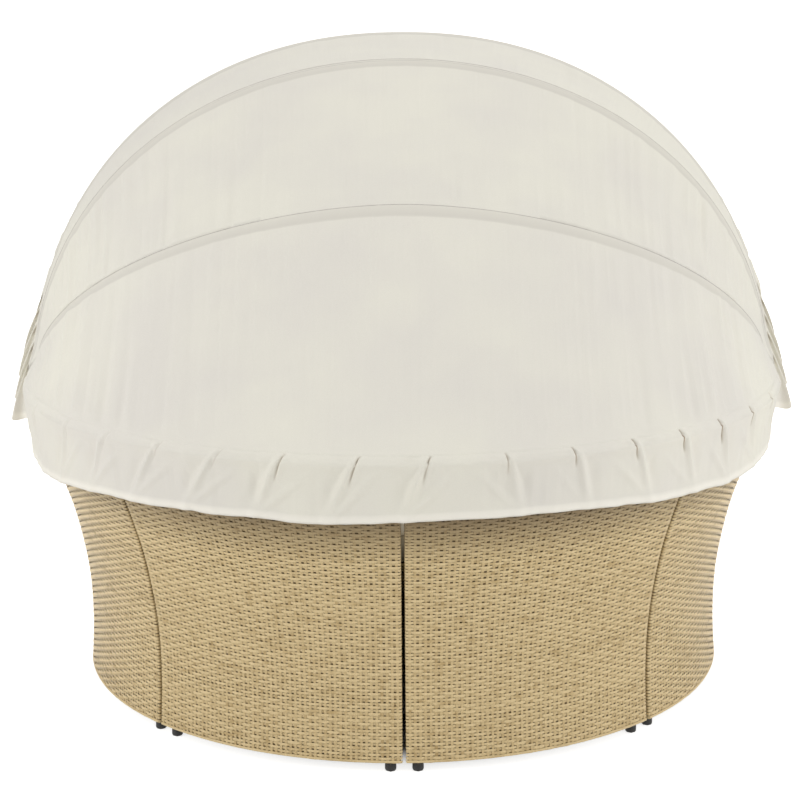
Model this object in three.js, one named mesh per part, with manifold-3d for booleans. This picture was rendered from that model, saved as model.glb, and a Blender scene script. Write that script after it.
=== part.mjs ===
// Round outdoor daybed: eight woven pieces stand together under a canopy that folds back on four hoops.
// Millimetres, +Z up, +Y to the back, +X to the left of someone who looks at the back.
import * as THREE from "three";
import { mergeVertices } from "three/addons/utils/BufferGeometryUtils.js";
import Module from "manifold-3d";

const wasm = await Module();
wasm.setup();

// Driving sizes of the woven base.
const baseRadius = 765; // wall at its lower edge
const rimRadius = 897; // wall at the top of the backrest
const glideHeight = 25; // lower edge of the weave above the floor
const backHeight = 705; // top of the backrest above the floor
const deckHeight = 300; // top of the woven seat deck
const backThickness = 70;
const moduleGap = 6; // between two pieces that stand side by side
const stoolRadius = 260;
const wickerThickness = 8;
const edgeRound = 10; // rounding of the backrest's top edges

// Clearances.
const touchGap = 0.3; // between two pieces that rest on each other
const frameGap = 0.6; // between a frame tube and the weave round it
const overrun = 5; // how far a cutter runs past what it cuts
const mergeDistance = 1e-4; // corners closer than this are one corner
const sliverSize = 0.05; // slivers thinner than this go when solids are joined or cut

// Frames under the weave.
const tubeWidth = 20;
const slatWidth = 30;

// Glides and joining clips.
const glideRadius = 12;
const glideSetIn = 29; // from the side of a piece to the middle of its glides
const clipThickness = 3;
const clipLegHeight = 15;
const clipLength = 40;

// Cushions.
const cushionEdgeHeight = 72;
const cushionCrown = 26; // the middle of the top stands this much above its edge
const cushionDrawIn = 9; // how far each side pulls in between the corners
const cushionInset = 7; // from the edge of the deck to the cushion's corners
const cushionRound = 9; // rounding of the edges

// Canopy hoops.
const tubeRadius = 9;
const lugThickness = 4; // the flattened end of a hoop
const lugHalfWidth = 11;
const lugLength = 75;
const lugBlendLength = 45; // from flattened to round
const pivotSetBack = 50; // the pivots lie this far behind the middle of the base
const washerThickness = 2.4;
const boltRadius = 4;
const boltHoleGap = 0.4;
const boltHeadRadius = 8;
const boltHeadThickness = 3.2;
const nutRadius = 7.5;
const nutLength = 8;
const washerRadius = 10;
const bracketThickness = 4;
const bracketWidth = 50;
const bracketFootLength = 36;
const lugGroundGap = 1; // between a lug's lower edge and the bracket's foot
const screwRadius = 3;
const screwLength = 24;
const screwHoleGap = 0.3;
const cradleLength = 28;
const cradleInner = 15; // from the hoop's middle inwards
const cradleOuter = 10.5; // and outwards, under the valance

// Each hoop is the curve |x / half width|^n + |y / depth|^n = 1, turned up by its angle.
const hoopTwo = { depth: 590, roundness: 1.81, angle: 47.2 };
const hoopThree = { depth: 723, roundness: 2.03, angle: 99 };
const hoopFront = { depth: 870, roundness: 2.16, angle: 118 };
const rearHoopRadius = 879.5;

// Canopy cloth.
const clothThickness = 1.6;
const clothGap = 1; // from a hoop to the cloth over it
const seamHalfGap = 0.6; // half of what is left between two panels at a hoop
const clothSagShare = 0.016; // how far a panel's middle lies inside a straight line, of its span
const foldShare = 0.009; // depth of the tension folds, of the panel's span
const rearValanceDrop = 136;
const rearValanceFoldDepth = 7;
const valanceRimGap = 4.5; // from the rim to the inside of the rear valance
const frontValanceDrop = 135;
const frontValanceFoldDepth = 9;
const frontValanceStart = 38; // up the front hoop from its pivot
const valanceLeastWrap = 0.15; // radians round the hoop before the cloth hangs free

// Wall outline: shares of the height from the lower edge to the rim, and of the flare.
const wallShares = [
  [0, 0],
  [0.169, -0.045],
  [0.34, -0.015],
  [0.478, 0.091],
  [0.61, 0.25],
  [0.728, 0.455],
  [0.846, 0.697],
  [0.941, 0.886],
  [1, 1],
];

// Counts of facets.
const wedgeCount = 4; // high seats in the back half
const segmentsPerWedge = 6;
const hoopSteps = 20;
const tubeSides = 8;
const screwSides = 6;
const nutSides = 6;
const roundSides = 12;
const rearPleatCount = 14;
const rearStepsPerPleat = 4;
const frontPleatCount = 18;
const frontStepsPerPleat = 2;
const foldCount = 22; // tension folds along a panel
const cushionRows = 5;
const cushionColumnsPerWedge = 6;
const endColumns = 2; // more columns of a cushion, for both its ends

// Values worked out from the driving sizes.
const wedgeAngle = Math.PI / wedgeCount;
const segmentAngle = wedgeAngle / segmentsPerWedge;
const flare = rimRadius - baseRadius;
const ribSetBack = rimRadius * (1 - Math.cos(segmentAngle / 2)); // how far a facet's middle lies inside
const wallHeight = backHeight - glideHeight;
const innerRadius = stoolRadius + moduleGap;
const halfGap = moduleGap / 2;
const deckUnderside = deckHeight - wickerThickness;
const frameSide = halfGap + wickerThickness + frameGap;
const pivotHeight = backHeight + touchGap + bracketThickness + lugGroundGap + lugHalfWidth;
const stackStep = lugThickness + washerThickness + 2 * touchGap;
const clothRadius = tubeRadius + clothGap;
const clothEndHeight = lugLength + lugBlendLength; // the panels start where a hoop turns round
const rearLugX = Math.sqrt(rearHoopRadius ** 2 - pivotSetBack ** 2);
const rearLugTilt = (lugHalfWidth * pivotSetBack) / rearHoopRadius;
hoopFront.halfWidth = rearLugX - rearLugTilt - stackStep; // their lugs lie side by side
hoopThree.halfWidth = hoopFront.halfWidth - stackStep;
hoopTwo.halfWidth = hoopThree.halfWidth - stackStep;
const bracketInnerX = rearLugX + lugThickness / 2 + rearLugTilt + touchGap;

// Materials.
function paint(color, roughness, metalness) {
  return new THREE.MeshStandardMaterial({ color, roughness, metalness });
}

const wickerFinish = paint(0xc7ad7f, 0.6, 0);
const frameFinish = paint(0x3b3732, 0.5, 0.4);
const cushionFinish = paint(0xe6e1d5, 0.9, 0);
const canopyFinish = paint(0xe4e1d8, 0.9, 0);
const hoopFinish = paint(0x4a4038, 0.45, 0.5);
const plasticFinish = paint(0x15140f, 0.55, 0);
const zincFinish = paint(0xb4b4b0, 0.35, 0.9);

const group = new THREE.Group();

// Solids and booleans.

function geometryOf(positions, indices) {
  const geometry = new THREE.BufferGeometry();
  geometry.setAttribute("position", new THREE.Float32BufferAttribute(positions, 3));
  geometry.setIndex(indices);
  return geometry;
}

function signedVolume(geometry) {
  const position = geometry.getAttribute("position");
  const index = geometry.index;
  const corners = [new THREE.Vector3(), new THREE.Vector3(), new THREE.Vector3()];
  let total = 0;
  for (let i = 0; i < index.count; i += 3) {
    corners.forEach((corner, k) => corner.fromBufferAttribute(position, index.getX(i + k)));
    total += corners[0].dot(corners[1].cross(corners[2]));
  }
  return total / 6;
}

// Turns the faces of a closed geometry outwards.
function facingOut(geometry) {
  if (signedVolume(geometry) < 0) {
    const index = geometry.index;
    for (let i = 0; i < index.count; i += 3) {
      const second = index.getX(i + 1);
      index.setX(i + 1, index.getX(i + 2));
      index.setX(i + 2, second);
    }
  }
  return geometry;
}

// A closed geometry with shared corners and its faces outwards.
function closed(geometry) {
  const bare = geometry.clone();
  bare.deleteAttribute("normal");
  bare.deleteAttribute("uv");
  const merged = mergeVertices(bare, mergeDistance);
  const kept = [];
  for (let i = 0; i < merged.index.count; i += 3) {
    const corners = [0, 1, 2].map((k) => merged.index.getX(i + k));
    if (new Set(corners).size === 3) kept.push(...corners);
  }
  merged.setIndex(kept);
  return facingOut(merged);
}

function solidOf(geometry) {
  const merged = closed(geometry);
  return new wasm.Manifold(
    new wasm.Mesh({
      numProp: 3,
      vertProperties: new Float32Array(merged.getAttribute("position").array),
      triVerts: new Uint32Array(merged.index.array),
    }),
  );
}

function geometryFrom(solid) {
  const mesh = solid.simplify(sliverSize).getMesh();
  return geometryOf(Array.from(mesh.vertProperties), Array.from(mesh.triVerts));
}

const joined = (geometries) => geometryFrom(geometries.map(solidOf).reduce((sum, solid) => sum.add(solid)));

function cut(geometry, cutters) {
  const solids = cutters.map(solidOf);
  return geometryFrom(solids.reduce((rest, solid) => rest.subtract(solid), solidOf(geometry)));
}

// Joins closed rings of points into one body and closes both ends with the given triangles.
// From the index reversedFrom on, the sides' diagonals lie the other way, so a folded sheet stays parallel.
function loft(rings, capTriangles, reversedFrom = Infinity) {
  const count = rings[0].length;
  const positions = rings.flat().flatMap((p) => [p.x, p.y, p.z]);
  const indices = [];
  for (let i = 0; i + 1 < rings.length; i += 1) {
    for (let k = 0; k < count; k += 1) {
      const a = i * count + k;
      const b = i * count + ((k + 1) % count);
      if (k < reversedFrom) indices.push(a, b, b + count, a, b + count, a + count);
      else indices.push(a, b, a + count, b, b + count, a + count);
    }
  }
  const last = (rings.length - 1) * count;
  for (const [a, b, c] of capTriangles) {
    indices.push(a, c, b, last + a, last + b, last + c);
  }
  return facingOut(geometryOf(positions, indices));
}

// The same body on one side of the middle, or its mirror image on the other.
const mirroredTo = (geometry, side) => closed(geometry.clone().scale(side, 1, 1));

function add(name, geometry, material) {
  const flat = closed(geometry).toNonIndexed();
  flat.computeVertexNormals();
  const mesh = new THREE.Mesh(flat, material);
  mesh.name = name;
  group.add(mesh);
  return mesh;
}

function boxBetween(low, high) {
  const size = high.clone().sub(low);
  return new THREE.BoxGeometry(size.x, size.y, size.z).translate(...low.clone().add(high).divideScalar(2));
}

const point = (x, y, z) => new THREE.Vector3(x, y, z);

// A bearing is an angle round the base, from the back towards +X.
const atBearing = (radius, bearing, z) => point(radius * Math.sin(bearing), radius * Math.cos(bearing), z);

// Sweeps a closed (radius, height) outline between two bearings; its ends are planes that keep a
// side distance from the radial planes, and its facets fall on the same grid on every piece.
function sector(outline, start, end, side, segment = segmentAngle) {
  const steps = Math.max(1, Math.round((end - start) / segment));
  const rings = [];
  for (let i = 0; i <= steps; i += 1) {
    const lean = i === 0 ? 1 : i === steps ? -1 : 0;
    const bearing = start + (i * (end - start)) / steps;
    const bearingAt = (radius) => bearing + lean * Math.asin(side / radius);
    rings.push(outline.map(([radius, z]) => atBearing(radius, bearingAt(radius), z)));
  }
  const flat = outline.map(([radius, z]) => new THREE.Vector2(radius, z));
  return loft(rings, THREE.ShapeUtils.triangulateShape(flat, []));
}

const rectangle = (low, high, bottom, top) => [
  [low, bottom],
  [high, bottom],
  [high, top],
  [low, top],
];

// Radius of the woven wall's outer face at a height.
function wallRadius(z) {
  const share = (z - glideHeight) / wallHeight;
  let i = 1;
  while (i < wallShares.length - 1 && wallShares[i][0] < share) i += 1;
  const [low, flareLow] = wallShares[i - 1];
  const [high, flareHigh] = wallShares[i];
  const along = (share - low) / (high - low);
  return baseRadius + flare * (flareLow + (flareHigh - flareLow) * along);
}

const wallLevels = wallShares.map(([share]) => glideHeight + wallHeight * share);

function levelsBetween(low, high) {
  const inside = wallLevels.filter((z) => z > low + edgeRound / 2 && z < high - edgeRound / 2);
  return [low, ...inside, high];
}

const narrowestWall = Math.min(...wallLevels.filter((z) => z < deckHeight).map(wallRadius));
const frameOuterRadius = narrowestWall - wickerThickness - frameGap;
const frameInnerRadius = innerRadius + wickerThickness + frameGap;

// Straight pieces that stand in a radial plane.

// Places geometry made with +X outwards, +Y sideways and +Z up at a bearing.
const turnedTo = (geometry, bearing) => geometry.rotateZ(Math.PI / 2 - bearing);

// A prism of a (radius, height) outline, from one side distance to another.
function radialPrism(outline, bearing, sideLow, sideHigh) {
  const shape = new THREE.Shape(outline.map(([radius, z]) => new THREE.Vector2(radius, z)));
  const prism = new THREE.ExtrudeGeometry(shape, { depth: sideHigh - sideLow, bevelEnabled: false });
  prism.rotateX(Math.PI / 2);
  prism.translate(0, sideHigh, 0);
  return turnedTo(prism, bearing);
}

// Weave of one seat, ottoman or stool.

function backSeatOutline() {
  const outer = levelsBetween(glideHeight, backHeight - edgeRound).map((z) => [wallRadius(z), z]);
  const innerLevels = levelsBetween(deckHeight, backHeight - edgeRound);
  const inner = innerLevels.map((z) => [wallRadius(z) - backThickness, z]);
  const bevel = edgeRound * (1 - Math.SQRT1_2);
  const top = wallRadius(backHeight - edgeRound);
  return [
    ...outer,
    [top - bevel, backHeight - bevel],
    [top - edgeRound, backHeight],
    [top - backThickness + edgeRound, backHeight],
    [top - backThickness + bevel, backHeight - bevel],
    ...inner.reverse(),
    [innerRadius, deckHeight],
    [innerRadius, glideHeight],
  ];
}

function backSeatCavity() {
  const skinTop = backHeight - wickerThickness;
  const hidden = backThickness - wickerThickness;
  const outer = levelsBetween(glideHeight, skinTop).map((z) => [wallRadius(z) - wickerThickness, z]);
  const inner = levelsBetween(deckUnderside, skinTop).map((z) => [wallRadius(z) - hidden, z]);
  outer[0][1] -= overrun;
  return [
    ...outer,
    ...inner.reverse(),
    [innerRadius + wickerThickness, deckUnderside],
    [innerRadius + wickerThickness, glideHeight - overrun],
  ];
}

function ottomanOutline() {
  const bevel = edgeRound * (1 - Math.SQRT1_2);
  const top = wallRadius(deckHeight);
  return [
    ...levelsBetween(glideHeight, deckHeight - edgeRound).map((z) => [wallRadius(z), z]),
    [top - bevel, deckHeight - bevel],
    [top - edgeRound, deckHeight],
    [innerRadius, deckHeight],
    [innerRadius, glideHeight],
  ];
}

function ottomanCavity() {
  const outer = levelsBetween(glideHeight, deckUnderside).map((z) => [wallRadius(z) - wickerThickness, z]);
  outer[0][1] -= overrun;
  return [
    ...outer,
    [innerRadius + wickerThickness, deckUnderside],
    [innerRadius + wickerThickness, glideHeight - overrun],
  ];
}

// Steel frame of a seat: a lower and an upper ring, legs at the corners and slats under the deck.
function seatFrame(start, end) {
  const ringLevels = [glideHeight, deckUnderside - frameGap - tubeWidth];
  const farSide = frameSide + tubeWidth;
  const reach = Math.sqrt(frameOuterRadius ** 2 - farSide ** 2) - ribSetBack;
  const innerCorner = frameInnerRadius / Math.cos(wedgeAngle / 4);
  const pieces = [];
  for (const z of ringLevels) {
    const outer = rectangle(frameOuterRadius - tubeWidth, frameOuterRadius, z, z + tubeWidth);
    const inner = rectangle(innerCorner, innerCorner + tubeWidth, z, z + tubeWidth);
    const bar = rectangle(frameInnerRadius, reach, z, z + tubeWidth);
    pieces.push(sector(outer, start, end, frameSide, 2 * segmentAngle));
    pieces.push(sector(inner, start, end, frameSide, wedgeAngle / 2));
    pieces.push(radialPrism(bar, start, -farSide, -frameSide), radialPrism(bar, end, frameSide, farSide));
  }
  const [low, high] = ringLevels;
  for (const radius of [frameInnerRadius, reach - tubeWidth]) {
    const leg = rectangle(radius, radius + tubeWidth, low, high + tubeWidth);
    pieces.push(radialPrism(leg, start, -farSide, -frameSide), radialPrism(leg, end, frameSide, farSide));
  }
  const middle = (frameInnerRadius + frameOuterRadius) / 2;
  const slat = rectangle(middle - slatWidth / 2, middle + slatWidth / 2, high, high + tubeWidth);
  pieces.push(sector(slat, start, end, frameSide, wedgeAngle / 2));
  return pieces;
}

// Ribs and rail inside the backrest.
function backFrame(start, end) {
  const railTop = backHeight - wickerThickness - frameGap;
  const railBottom = railTop - tubeWidth;
  const railOuter = wallRadius(railBottom) - wickerThickness - frameGap;
  const rail = rectangle(railOuter - tubeWidth, railOuter, railBottom, railTop);
  const face = wickerThickness + frameGap + ribSetBack;
  const ribFoot = deckUnderside - frameGap - tubeWidth;
  const levels = levelsBetween(ribFoot, railTop - tubeWidth / 2);
  const rib = [
    ...levels.map((z) => [wallRadius(z) - face, z]),
    ...levels.map((z) => [wallRadius(z) - face - tubeWidth, z]).reverse(),
  ];
  const farSide = frameSide + tubeWidth;
  return [
    sector(rail, start, end, frameSide, 2 * segmentAngle),
    radialPrism(rib, start, -farSide, -frameSide),
    radialPrism(rib, end, frameSide, farSide),
  ];
}

// A foot with a flat sole, whose stem is fast in the frame tube over it.
function glide(x, y) {
  const neck = glideRadius * 0.7;
  const sole = glideRadius * 0.9;
  const outline = [
    [0, 0],
    [sole, 0],
    [glideRadius, glideHeight / 2],
    [neck, glideHeight + tubeWidth / 2],
    [0, glideHeight + tubeWidth / 2],
  ];
  return lathed(outline, screwSides).translate(x, y, 0);
}

// Glides under the four corners of a seat.
function seatGlides(start, end) {
  const outer = frameOuterRadius - tubeWidth / 2;
  const inner = frameInnerRadius + tubeWidth / 2;
  return [outer, inner].flatMap((radius) =>
    [start + Math.asin(glideSetIn / radius), end - Math.asin(glideSetIn / radius)].map((bearing) => {
      const foot = atBearing(radius, bearing, 0);
      return glide(foot.x, foot.y);
    }),
  );
}

// A cushion over a wedge of the deck, its sides drawn in between its corners.
function wedgeCushion(start, end, low, high) {
  const floor = deckHeight + touchGap;
  const columns = Math.round((end - start) / wedgeAngle) * cushionColumnsPerWedge + endColumns;
  const rows = cushionRows;
  const inside = (share, corner) => corner * (1 - (2 * share - 1) ** 4);
  const place = (u, v, inset, z) => {
    const drawnRadial = inside(u, cushionDrawIn);
    const drawnSide = inside(v, cushionDrawIn);
    const near = low + cushionInset + inset + drawnRadial;
    const far = high - cushionInset - inset - drawnRadial;
    const radius = near + (far - near) * v;
    const lean = Math.asin((halfGap + cushionInset + inset + drawnSide) / radius);
    return atBearing(radius, start + lean + (end - start - 2 * lean) * u, z);
  };
  const edge = cushionRound;
  const crown = (u, v) => cushionCrown * Math.sqrt(Math.sin(Math.PI * u) * Math.sin(Math.PI * v));
  const rings = [
    [edge, 0],
    [0, edge],
    [-cushionRound * 0.4, cushionEdgeHeight / 2],
    [0, cushionEdgeHeight - edge],
    [edge, cushionEdgeHeight],
  ];
  const border = [];
  for (let i = 0; i < columns; i += 1) border.push([i / columns, 0]);
  for (let j = 0; j < rows; j += 1) border.push([1, j / rows]);
  for (let i = columns; i > 0; i -= 1) border.push([i / columns, 1]);
  for (let j = rows; j > 0; j -= 1) border.push([0, j / rows]);
  const positions = [];
  const indices = [];
  const put = (p) => positions.push(p.x, p.y, p.z) / 3 - 1;
  const loops = rings.map(([inset, z]) => border.map(([u, v]) => put(place(u, v, inset, floor + z))));
  for (let k = 0; k + 1 < loops.length; k += 1) {
    border.forEach((_, i) => {
      const j = (i + 1) % border.length;
      const [low, high] = [loops[k], loops[k + 1]];
      indices.push(low[i], low[j], high[j], low[i], high[j], high[i]);
    });
  }
  const rim = loops[loops.length - 1];
  const grid = [];
  for (let i = 0; i <= columns; i += 1) {
    grid.push([]);
    for (let j = 0; j <= rows; j += 1) {
      const [u, v] = [i / columns, j / rows];
      const found = border.findIndex(([a, b]) => Math.abs(a - u) + Math.abs(b - v) < 1e-6);
      const top = floor + cushionEdgeHeight + crown(u, v);
      grid[i].push(found >= 0 ? rim[found] : put(place(u, v, edge, top)));
    }
  }
  for (let i = 0; i < columns; i += 1) {
    for (let j = 0; j < rows; j += 1) {
      const [a, b, c, d] = [grid[i][j], grid[i + 1][j], grid[i + 1][j + 1], grid[i][j + 1]];
      indices.push(a, b, c, a, c, d);
    }
  }
  const under = border.map(([u, v]) => place(u, v, edge, floor)).map((p) => new THREE.Vector2(p.x, p.y));
  for (const [a, b, c] of THREE.ShapeUtils.triangulateShape(under, [])) {
    indices.push(loops[0][a], loops[0][c], loops[0][b]);
  }
  return facingOut(geometryOf(positions, indices));
}

function lathed(outline, sides) {
  const lathe = new THREE.LatheGeometry(outline.map(([r, z]) => new THREE.Vector2(r, z)), sides);
  return lathe.rotateX(Math.PI / 2);
}

// Round stool in the middle.
function addStool() {
  const sides = segmentsPerWedge * 3;
  const inside = stoolRadius - wickerThickness;
  const frameOuter = inside - frameGap;
  const ringLow = frameOuter - tubeWidth;
  const ring = (z) => lathed([...rectangle(ringLow, frameOuter, z, z + tubeWidth), [ringLow, z]], sides);
  const shell = [
    [0, deckHeight],
    [stoolRadius - edgeRound, deckHeight],
    [stoolRadius, deckHeight - edgeRound],
    [stoolRadius, glideHeight],
    [inside, glideHeight],
    [inside, deckUnderside],
    [0, deckUnderside],
  ];
  add("stool_wicker", lathed(shell, sides), wickerFinish);
  const low = glideHeight;
  const high = deckUnderside - frameGap - tubeWidth;
  const legOuter = frameOuter * Math.cos(Math.PI / sides) - ribSetBack;
  const leg = rectangle(legOuter - tubeWidth, legOuter, low, high + tubeWidth);
  const bar = rectangle(-legOuter, legOuter, high, high + tubeWidth);
  const quarters = [1, 3, 5, 7].map((k) => (k * Math.PI) / 4);
  const feet = quarters.map((bearing) => atBearing(legOuter - tubeWidth / 2, bearing, 0));
  add(
    "stool_frame",
    joined([
      ring(low),
      ring(high),
      ...quarters.map((bearing) => radialPrism(leg, bearing, -tubeWidth / 2, tubeWidth / 2)),
      radialPrism(bar, quarters[0], -tubeWidth / 2, tubeWidth / 2),
      radialPrism(bar, quarters[1], -tubeWidth / 2, tubeWidth / 2),
      ...feet.map((foot) => glide(foot.x, foot.y)),
    ]),
    frameFinish,
  );
  const floor = deckHeight + touchGap;
  const reach = stoolRadius - cushionInset;
  const top = floor + cushionEdgeHeight;
  const cushion = [
    [0, floor],
    [reach - cushionRound, floor],
    [reach, floor + cushionRound],
    [reach + cushionRound * 0.4, floor + cushionEdgeHeight / 2],
    [reach, top - cushionRound],
    [reach - cushionRound, top],
    [reach * 0.8, top + cushionCrown * 0.55],
    [reach * 0.5, top + cushionCrown * 0.88],
    [0, top + cushionCrown],
  ];
  add("stool_cushion", lathed(cushion, segmentsPerWedge * 3), cushionFinish);
}

// Seats, ottomans and stool.

const pieces = [
  { name: "seat_outer_right", start: -2, span: 1, back: true },
  { name: "seat_rear_right", start: -1, span: 1, back: true },
  { name: "seat_rear_left", start: 0, span: 1, back: true },
  { name: "seat_outer_left", start: 1, span: 1, back: true },
  { name: "ottoman_left", start: 2, span: 2, back: false },
  { name: "ottoman_right", start: 4, span: 2, back: false },
];

// Section of a hoop at a distance from its pivot: half thickness in the hoop's plane, half width across.
// Behind the pivot, where the distance is negative, the end is round.
function hoopSection(distance) {
  const share = Math.min(1, Math.max(0, (distance - lugLength) / lugBlendLength));
  const smooth = share * share * (3 - 2 * share);
  const behind = Math.min(0, distance);
  return [
    lugThickness / 2 + (tubeRadius - lugThickness / 2) * smooth,
    Math.sqrt(lugHalfWidth ** 2 - behind ** 2) + (tubeRadius - lugHalfWidth) * smooth,
    smooth,
  ];
}

// Distances from the pivot at which an end of a hoop has its rings.
const lugRounding = [-0.92, -0.6, 0].map((share) => share * lugHalfWidth);
const lugRings = [...lugRounding, lugLength / 2, lugLength, lugLength + lugBlendLength / 2];

// Angles of the rear hoop at its pivot, and where it turns round and the cloth starts.
const rearPivotTurn = Math.asin(pivotSetBack / rearHoopRadius);
const rearClothStart = rearPivotTurn + clothEndHeight / rearHoopRadius;

function rearHoopPoints() {
  const ends = lugRings.map((distance) => rearPivotTurn + distance / rearHoopRadius);
  const span = Math.PI - 2 * rearClothStart;
  const turns = [...ends];
  for (let i = 0; i <= hoopSteps; i += 1) turns.push(rearClothStart + (span * i) / hoopSteps);
  turns.push(...ends.reverse().map((angle) => Math.PI - angle));
  const onCircle = (turn) => new THREE.Vector2(Math.cos(turn), Math.sin(turn));
  return turns.map((turn) => onCircle(turn).multiplyScalar(rearHoopRadius));
}

// Middle of the straight run of the rear hoop that is nearest to a bearing.
function rearHoopRun(bearing) {
  const points = rearHoopPoints();
  const wanted = new THREE.Vector2(Math.sin(bearing), Math.cos(bearing)).multiplyScalar(rearHoopRadius);
  const middles = points.slice(1).map((p, i) => p.clone().add(points[i]).divideScalar(2));
  const nearest = middles.reduce((best, p) => (p.distanceTo(wanted) < best.distanceTo(wanted) ? p : best));
  return { bearing: Math.atan2(nearest.x, nearest.y), radius: nearest.length() };
}

// Places for what is screwed to the rim.
const bracketX = bracketInnerX - bracketFootLength;
const footTop = backHeight + touchGap + bracketThickness;
const bracketScrewInset = bracketWidth / 5;
const bracketScrewX = bracketX + bracketFootLength / 4;

function bracketScrewPlaces(side) {
  const offset = bracketWidth / 2 - bracketScrewInset;
  return [-offset, offset].map((y) => point(side * bracketScrewX, pivotSetBack + y, footTop));
}

const cradleShares = [-1.5, -0.5, 0.5, 1.5];
const cradleRuns = cradleShares.map((share) => rearHoopRun(share * wedgeAngle));
const cradleFloor = backHeight + touchGap;
const cradleFoot = pivotHeight - tubeRadius - touchGap - cradleFloor;
const cradleScrewHeight = cradleFloor + cradleFoot - touchGap;
const cradleScrewPlaces = cradleRuns.map((run) => atBearing(run.radius, run.bearing, cradleScrewHeight));
const rimScrewPlaces = [...bracketScrewPlaces(1), ...bracketScrewPlaces(-1), ...cradleScrewPlaces];

// A countersunk screw whose head is flush with the given place.
function screw(place, gap, rise) {
  const head = screwRadius * 1.6;
  const outline = [
    [0, -screwLength - gap],
    [screwRadius + gap, -screwLength - gap],
    [screwRadius + gap, screwRadius * -0.8],
    [head + gap, -gap],
    [head + gap, rise],
    [0, rise],
  ];
  return lathed(outline, screwSides).translate(place.x, place.y, place.z);
}

const screwHoles = rimScrewPlaces.map((place) => screw(place, screwHoleGap, overrun));

function addSeats() {
  for (const { name, start: first, span, back } of pieces) {
    const start = first * wedgeAngle;
    const end = start + span * wedgeAngle;
    const body = sector(back ? backSeatOutline() : ottomanOutline(), start, end, halfGap);
    const cavity = sector(back ? backSeatCavity() : ottomanCavity(), start, end, halfGap + wickerThickness);
    const tubes = [...seatFrame(start, end), ...(back ? backFrame(start, end) : [])];
    const frame = joined([...tubes, ...seatGlides(start, end)]);
    add(`${name}_wicker`, cut(body, back ? [cavity, ...screwHoles] : [cavity]), wickerFinish);
    add(`${name}_frame`, back ? cut(frame, screwHoles) : frame, frameFinish);
    const deckEdge = back ? wallRadius(deckHeight) - backThickness : wallRadius(deckHeight);
    add(`${name}_cushion`, wedgeCushion(start, end, innerRadius, deckEdge), cushionFinish);
  }
}

// Clips that grip the lower tubes of two neighbours.
function addClips() {
  const inside = frameSide + tubeWidth + touchGap;
  const outside = inside + clipThickness;
  const top = glideHeight + clipLegHeight;
  const bottom = glideHeight - touchGap;
  const low = bottom - clipThickness;
  const outline = [
    [-outside, low],
    [outside, low],
    [outside, top],
    [inside, top],
    [inside, bottom],
    [-inside, bottom],
    [-inside, top],
    [-outside, top],
  ];
  const shape = new THREE.Shape(outline.map(([x, y]) => new THREE.Vector2(x, y)));
  const radius = (innerRadius + baseRadius) / 2;
  const splits = { side_right: -2, rear_right: -1, rear: 0, rear_left: 1, side_left: 2, front: 4 };
  for (const [name, wedges] of Object.entries(splits)) {
    const clip = new THREE.ExtrudeGeometry(shape, { depth: clipLength, bevelEnabled: false });
    clip.rotateX(Math.PI / 2).translate(0, radius + clipLength / 2, 0);
    add(`joining_clip_${name}`, clip.rotateZ(-wedges * wedgeAngle), plasticFinish);
  }
}

// Hoops.

// Point of a hoop in its own plane, from one pivot (0) round to the other (1).
function hoopPoint({ halfWidth, depth, roundness }, along) {
  const turn = Math.PI * along;
  const power = 2 / roundness;
  const x = Math.sign(Math.cos(turn)) * Math.abs(Math.cos(turn)) ** power * halfWidth;
  return new THREE.Vector2(x, Math.sin(turn) ** power * depth);
}

// The share of the way round at which a hoop stands a given distance from its pivot.
function alongAt({ depth, roundness }, distance) {
  return Math.asin((distance / depth) ** (roundness / 2)) / Math.PI;
}

function boltHole(length) {
  const radius = boltRadius + boltHoleGap;
  return new THREE.CylinderGeometry(radius, radius, length, roundSides).rotateZ(Math.PI / 2);
}

// A tube in the XY plane along the given points, flattened at both ends and bored for its bolts.
function hoopTube(points, boltX, boltY) {
  const rings = points.map((p, i) => {
    const before = points[Math.max(0, i - 1)];
    const after = points[Math.min(points.length - 1, i + 1)];
    const run = after.clone().sub(before).normalize();
    const out = new THREE.Vector2(run.y, -run.x);
    const fromEnd = Math.min(i, points.length - 1 - i);
    const [thick, wide, smooth] = hoopSection(lugRings[fromEnd] ?? clothEndHeight);
    return Array.from({ length: tubeSides }, (_, k) => {
      const turn = ((k + 0.5) * 2 * Math.PI) / tubeSides;
      const square = (value) => Math.sign(value) * Math.abs(value) ** (0.35 + 0.65 * smooth);
      const side = square(Math.cos(turn)) * thick;
      return point(p.x + out.x * side, p.y + out.y * side, square(Math.sin(turn)) * wide);
    });
  });
  const fan = Array.from({ length: tubeSides - 2 }, (_, k) => [0, k + 1, k + 2]);
  const holes = [-1, 1].map((side) =>
    boltHole(lugThickness * 4).translate(side * boltX, boltY, 0),
  );
  return cut(loft(rings, fan), holes);
}

function foldingHoopPoints(hoop) {
  const last = alongAt(hoop, clothEndHeight);
  const lug = lugRings.map((distance) => {
    const p = hoopPoint(hoop, distance > 0 ? alongAt(hoop, distance) : 0);
    return distance < 0 ? p.setY(distance) : p;
  });
  const round = [];
  for (let i = 0; i <= hoopSteps; i += 1) {
    round.push(hoopPoint(hoop, last + ((1 - 2 * last) * i) / hoopSteps));
  }
  const far = lug.map((p) => new THREE.Vector2(-p.x, p.y)).reverse();
  return [...lug, ...round, ...far];
}

const radians = THREE.MathUtils.degToRad;

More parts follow.
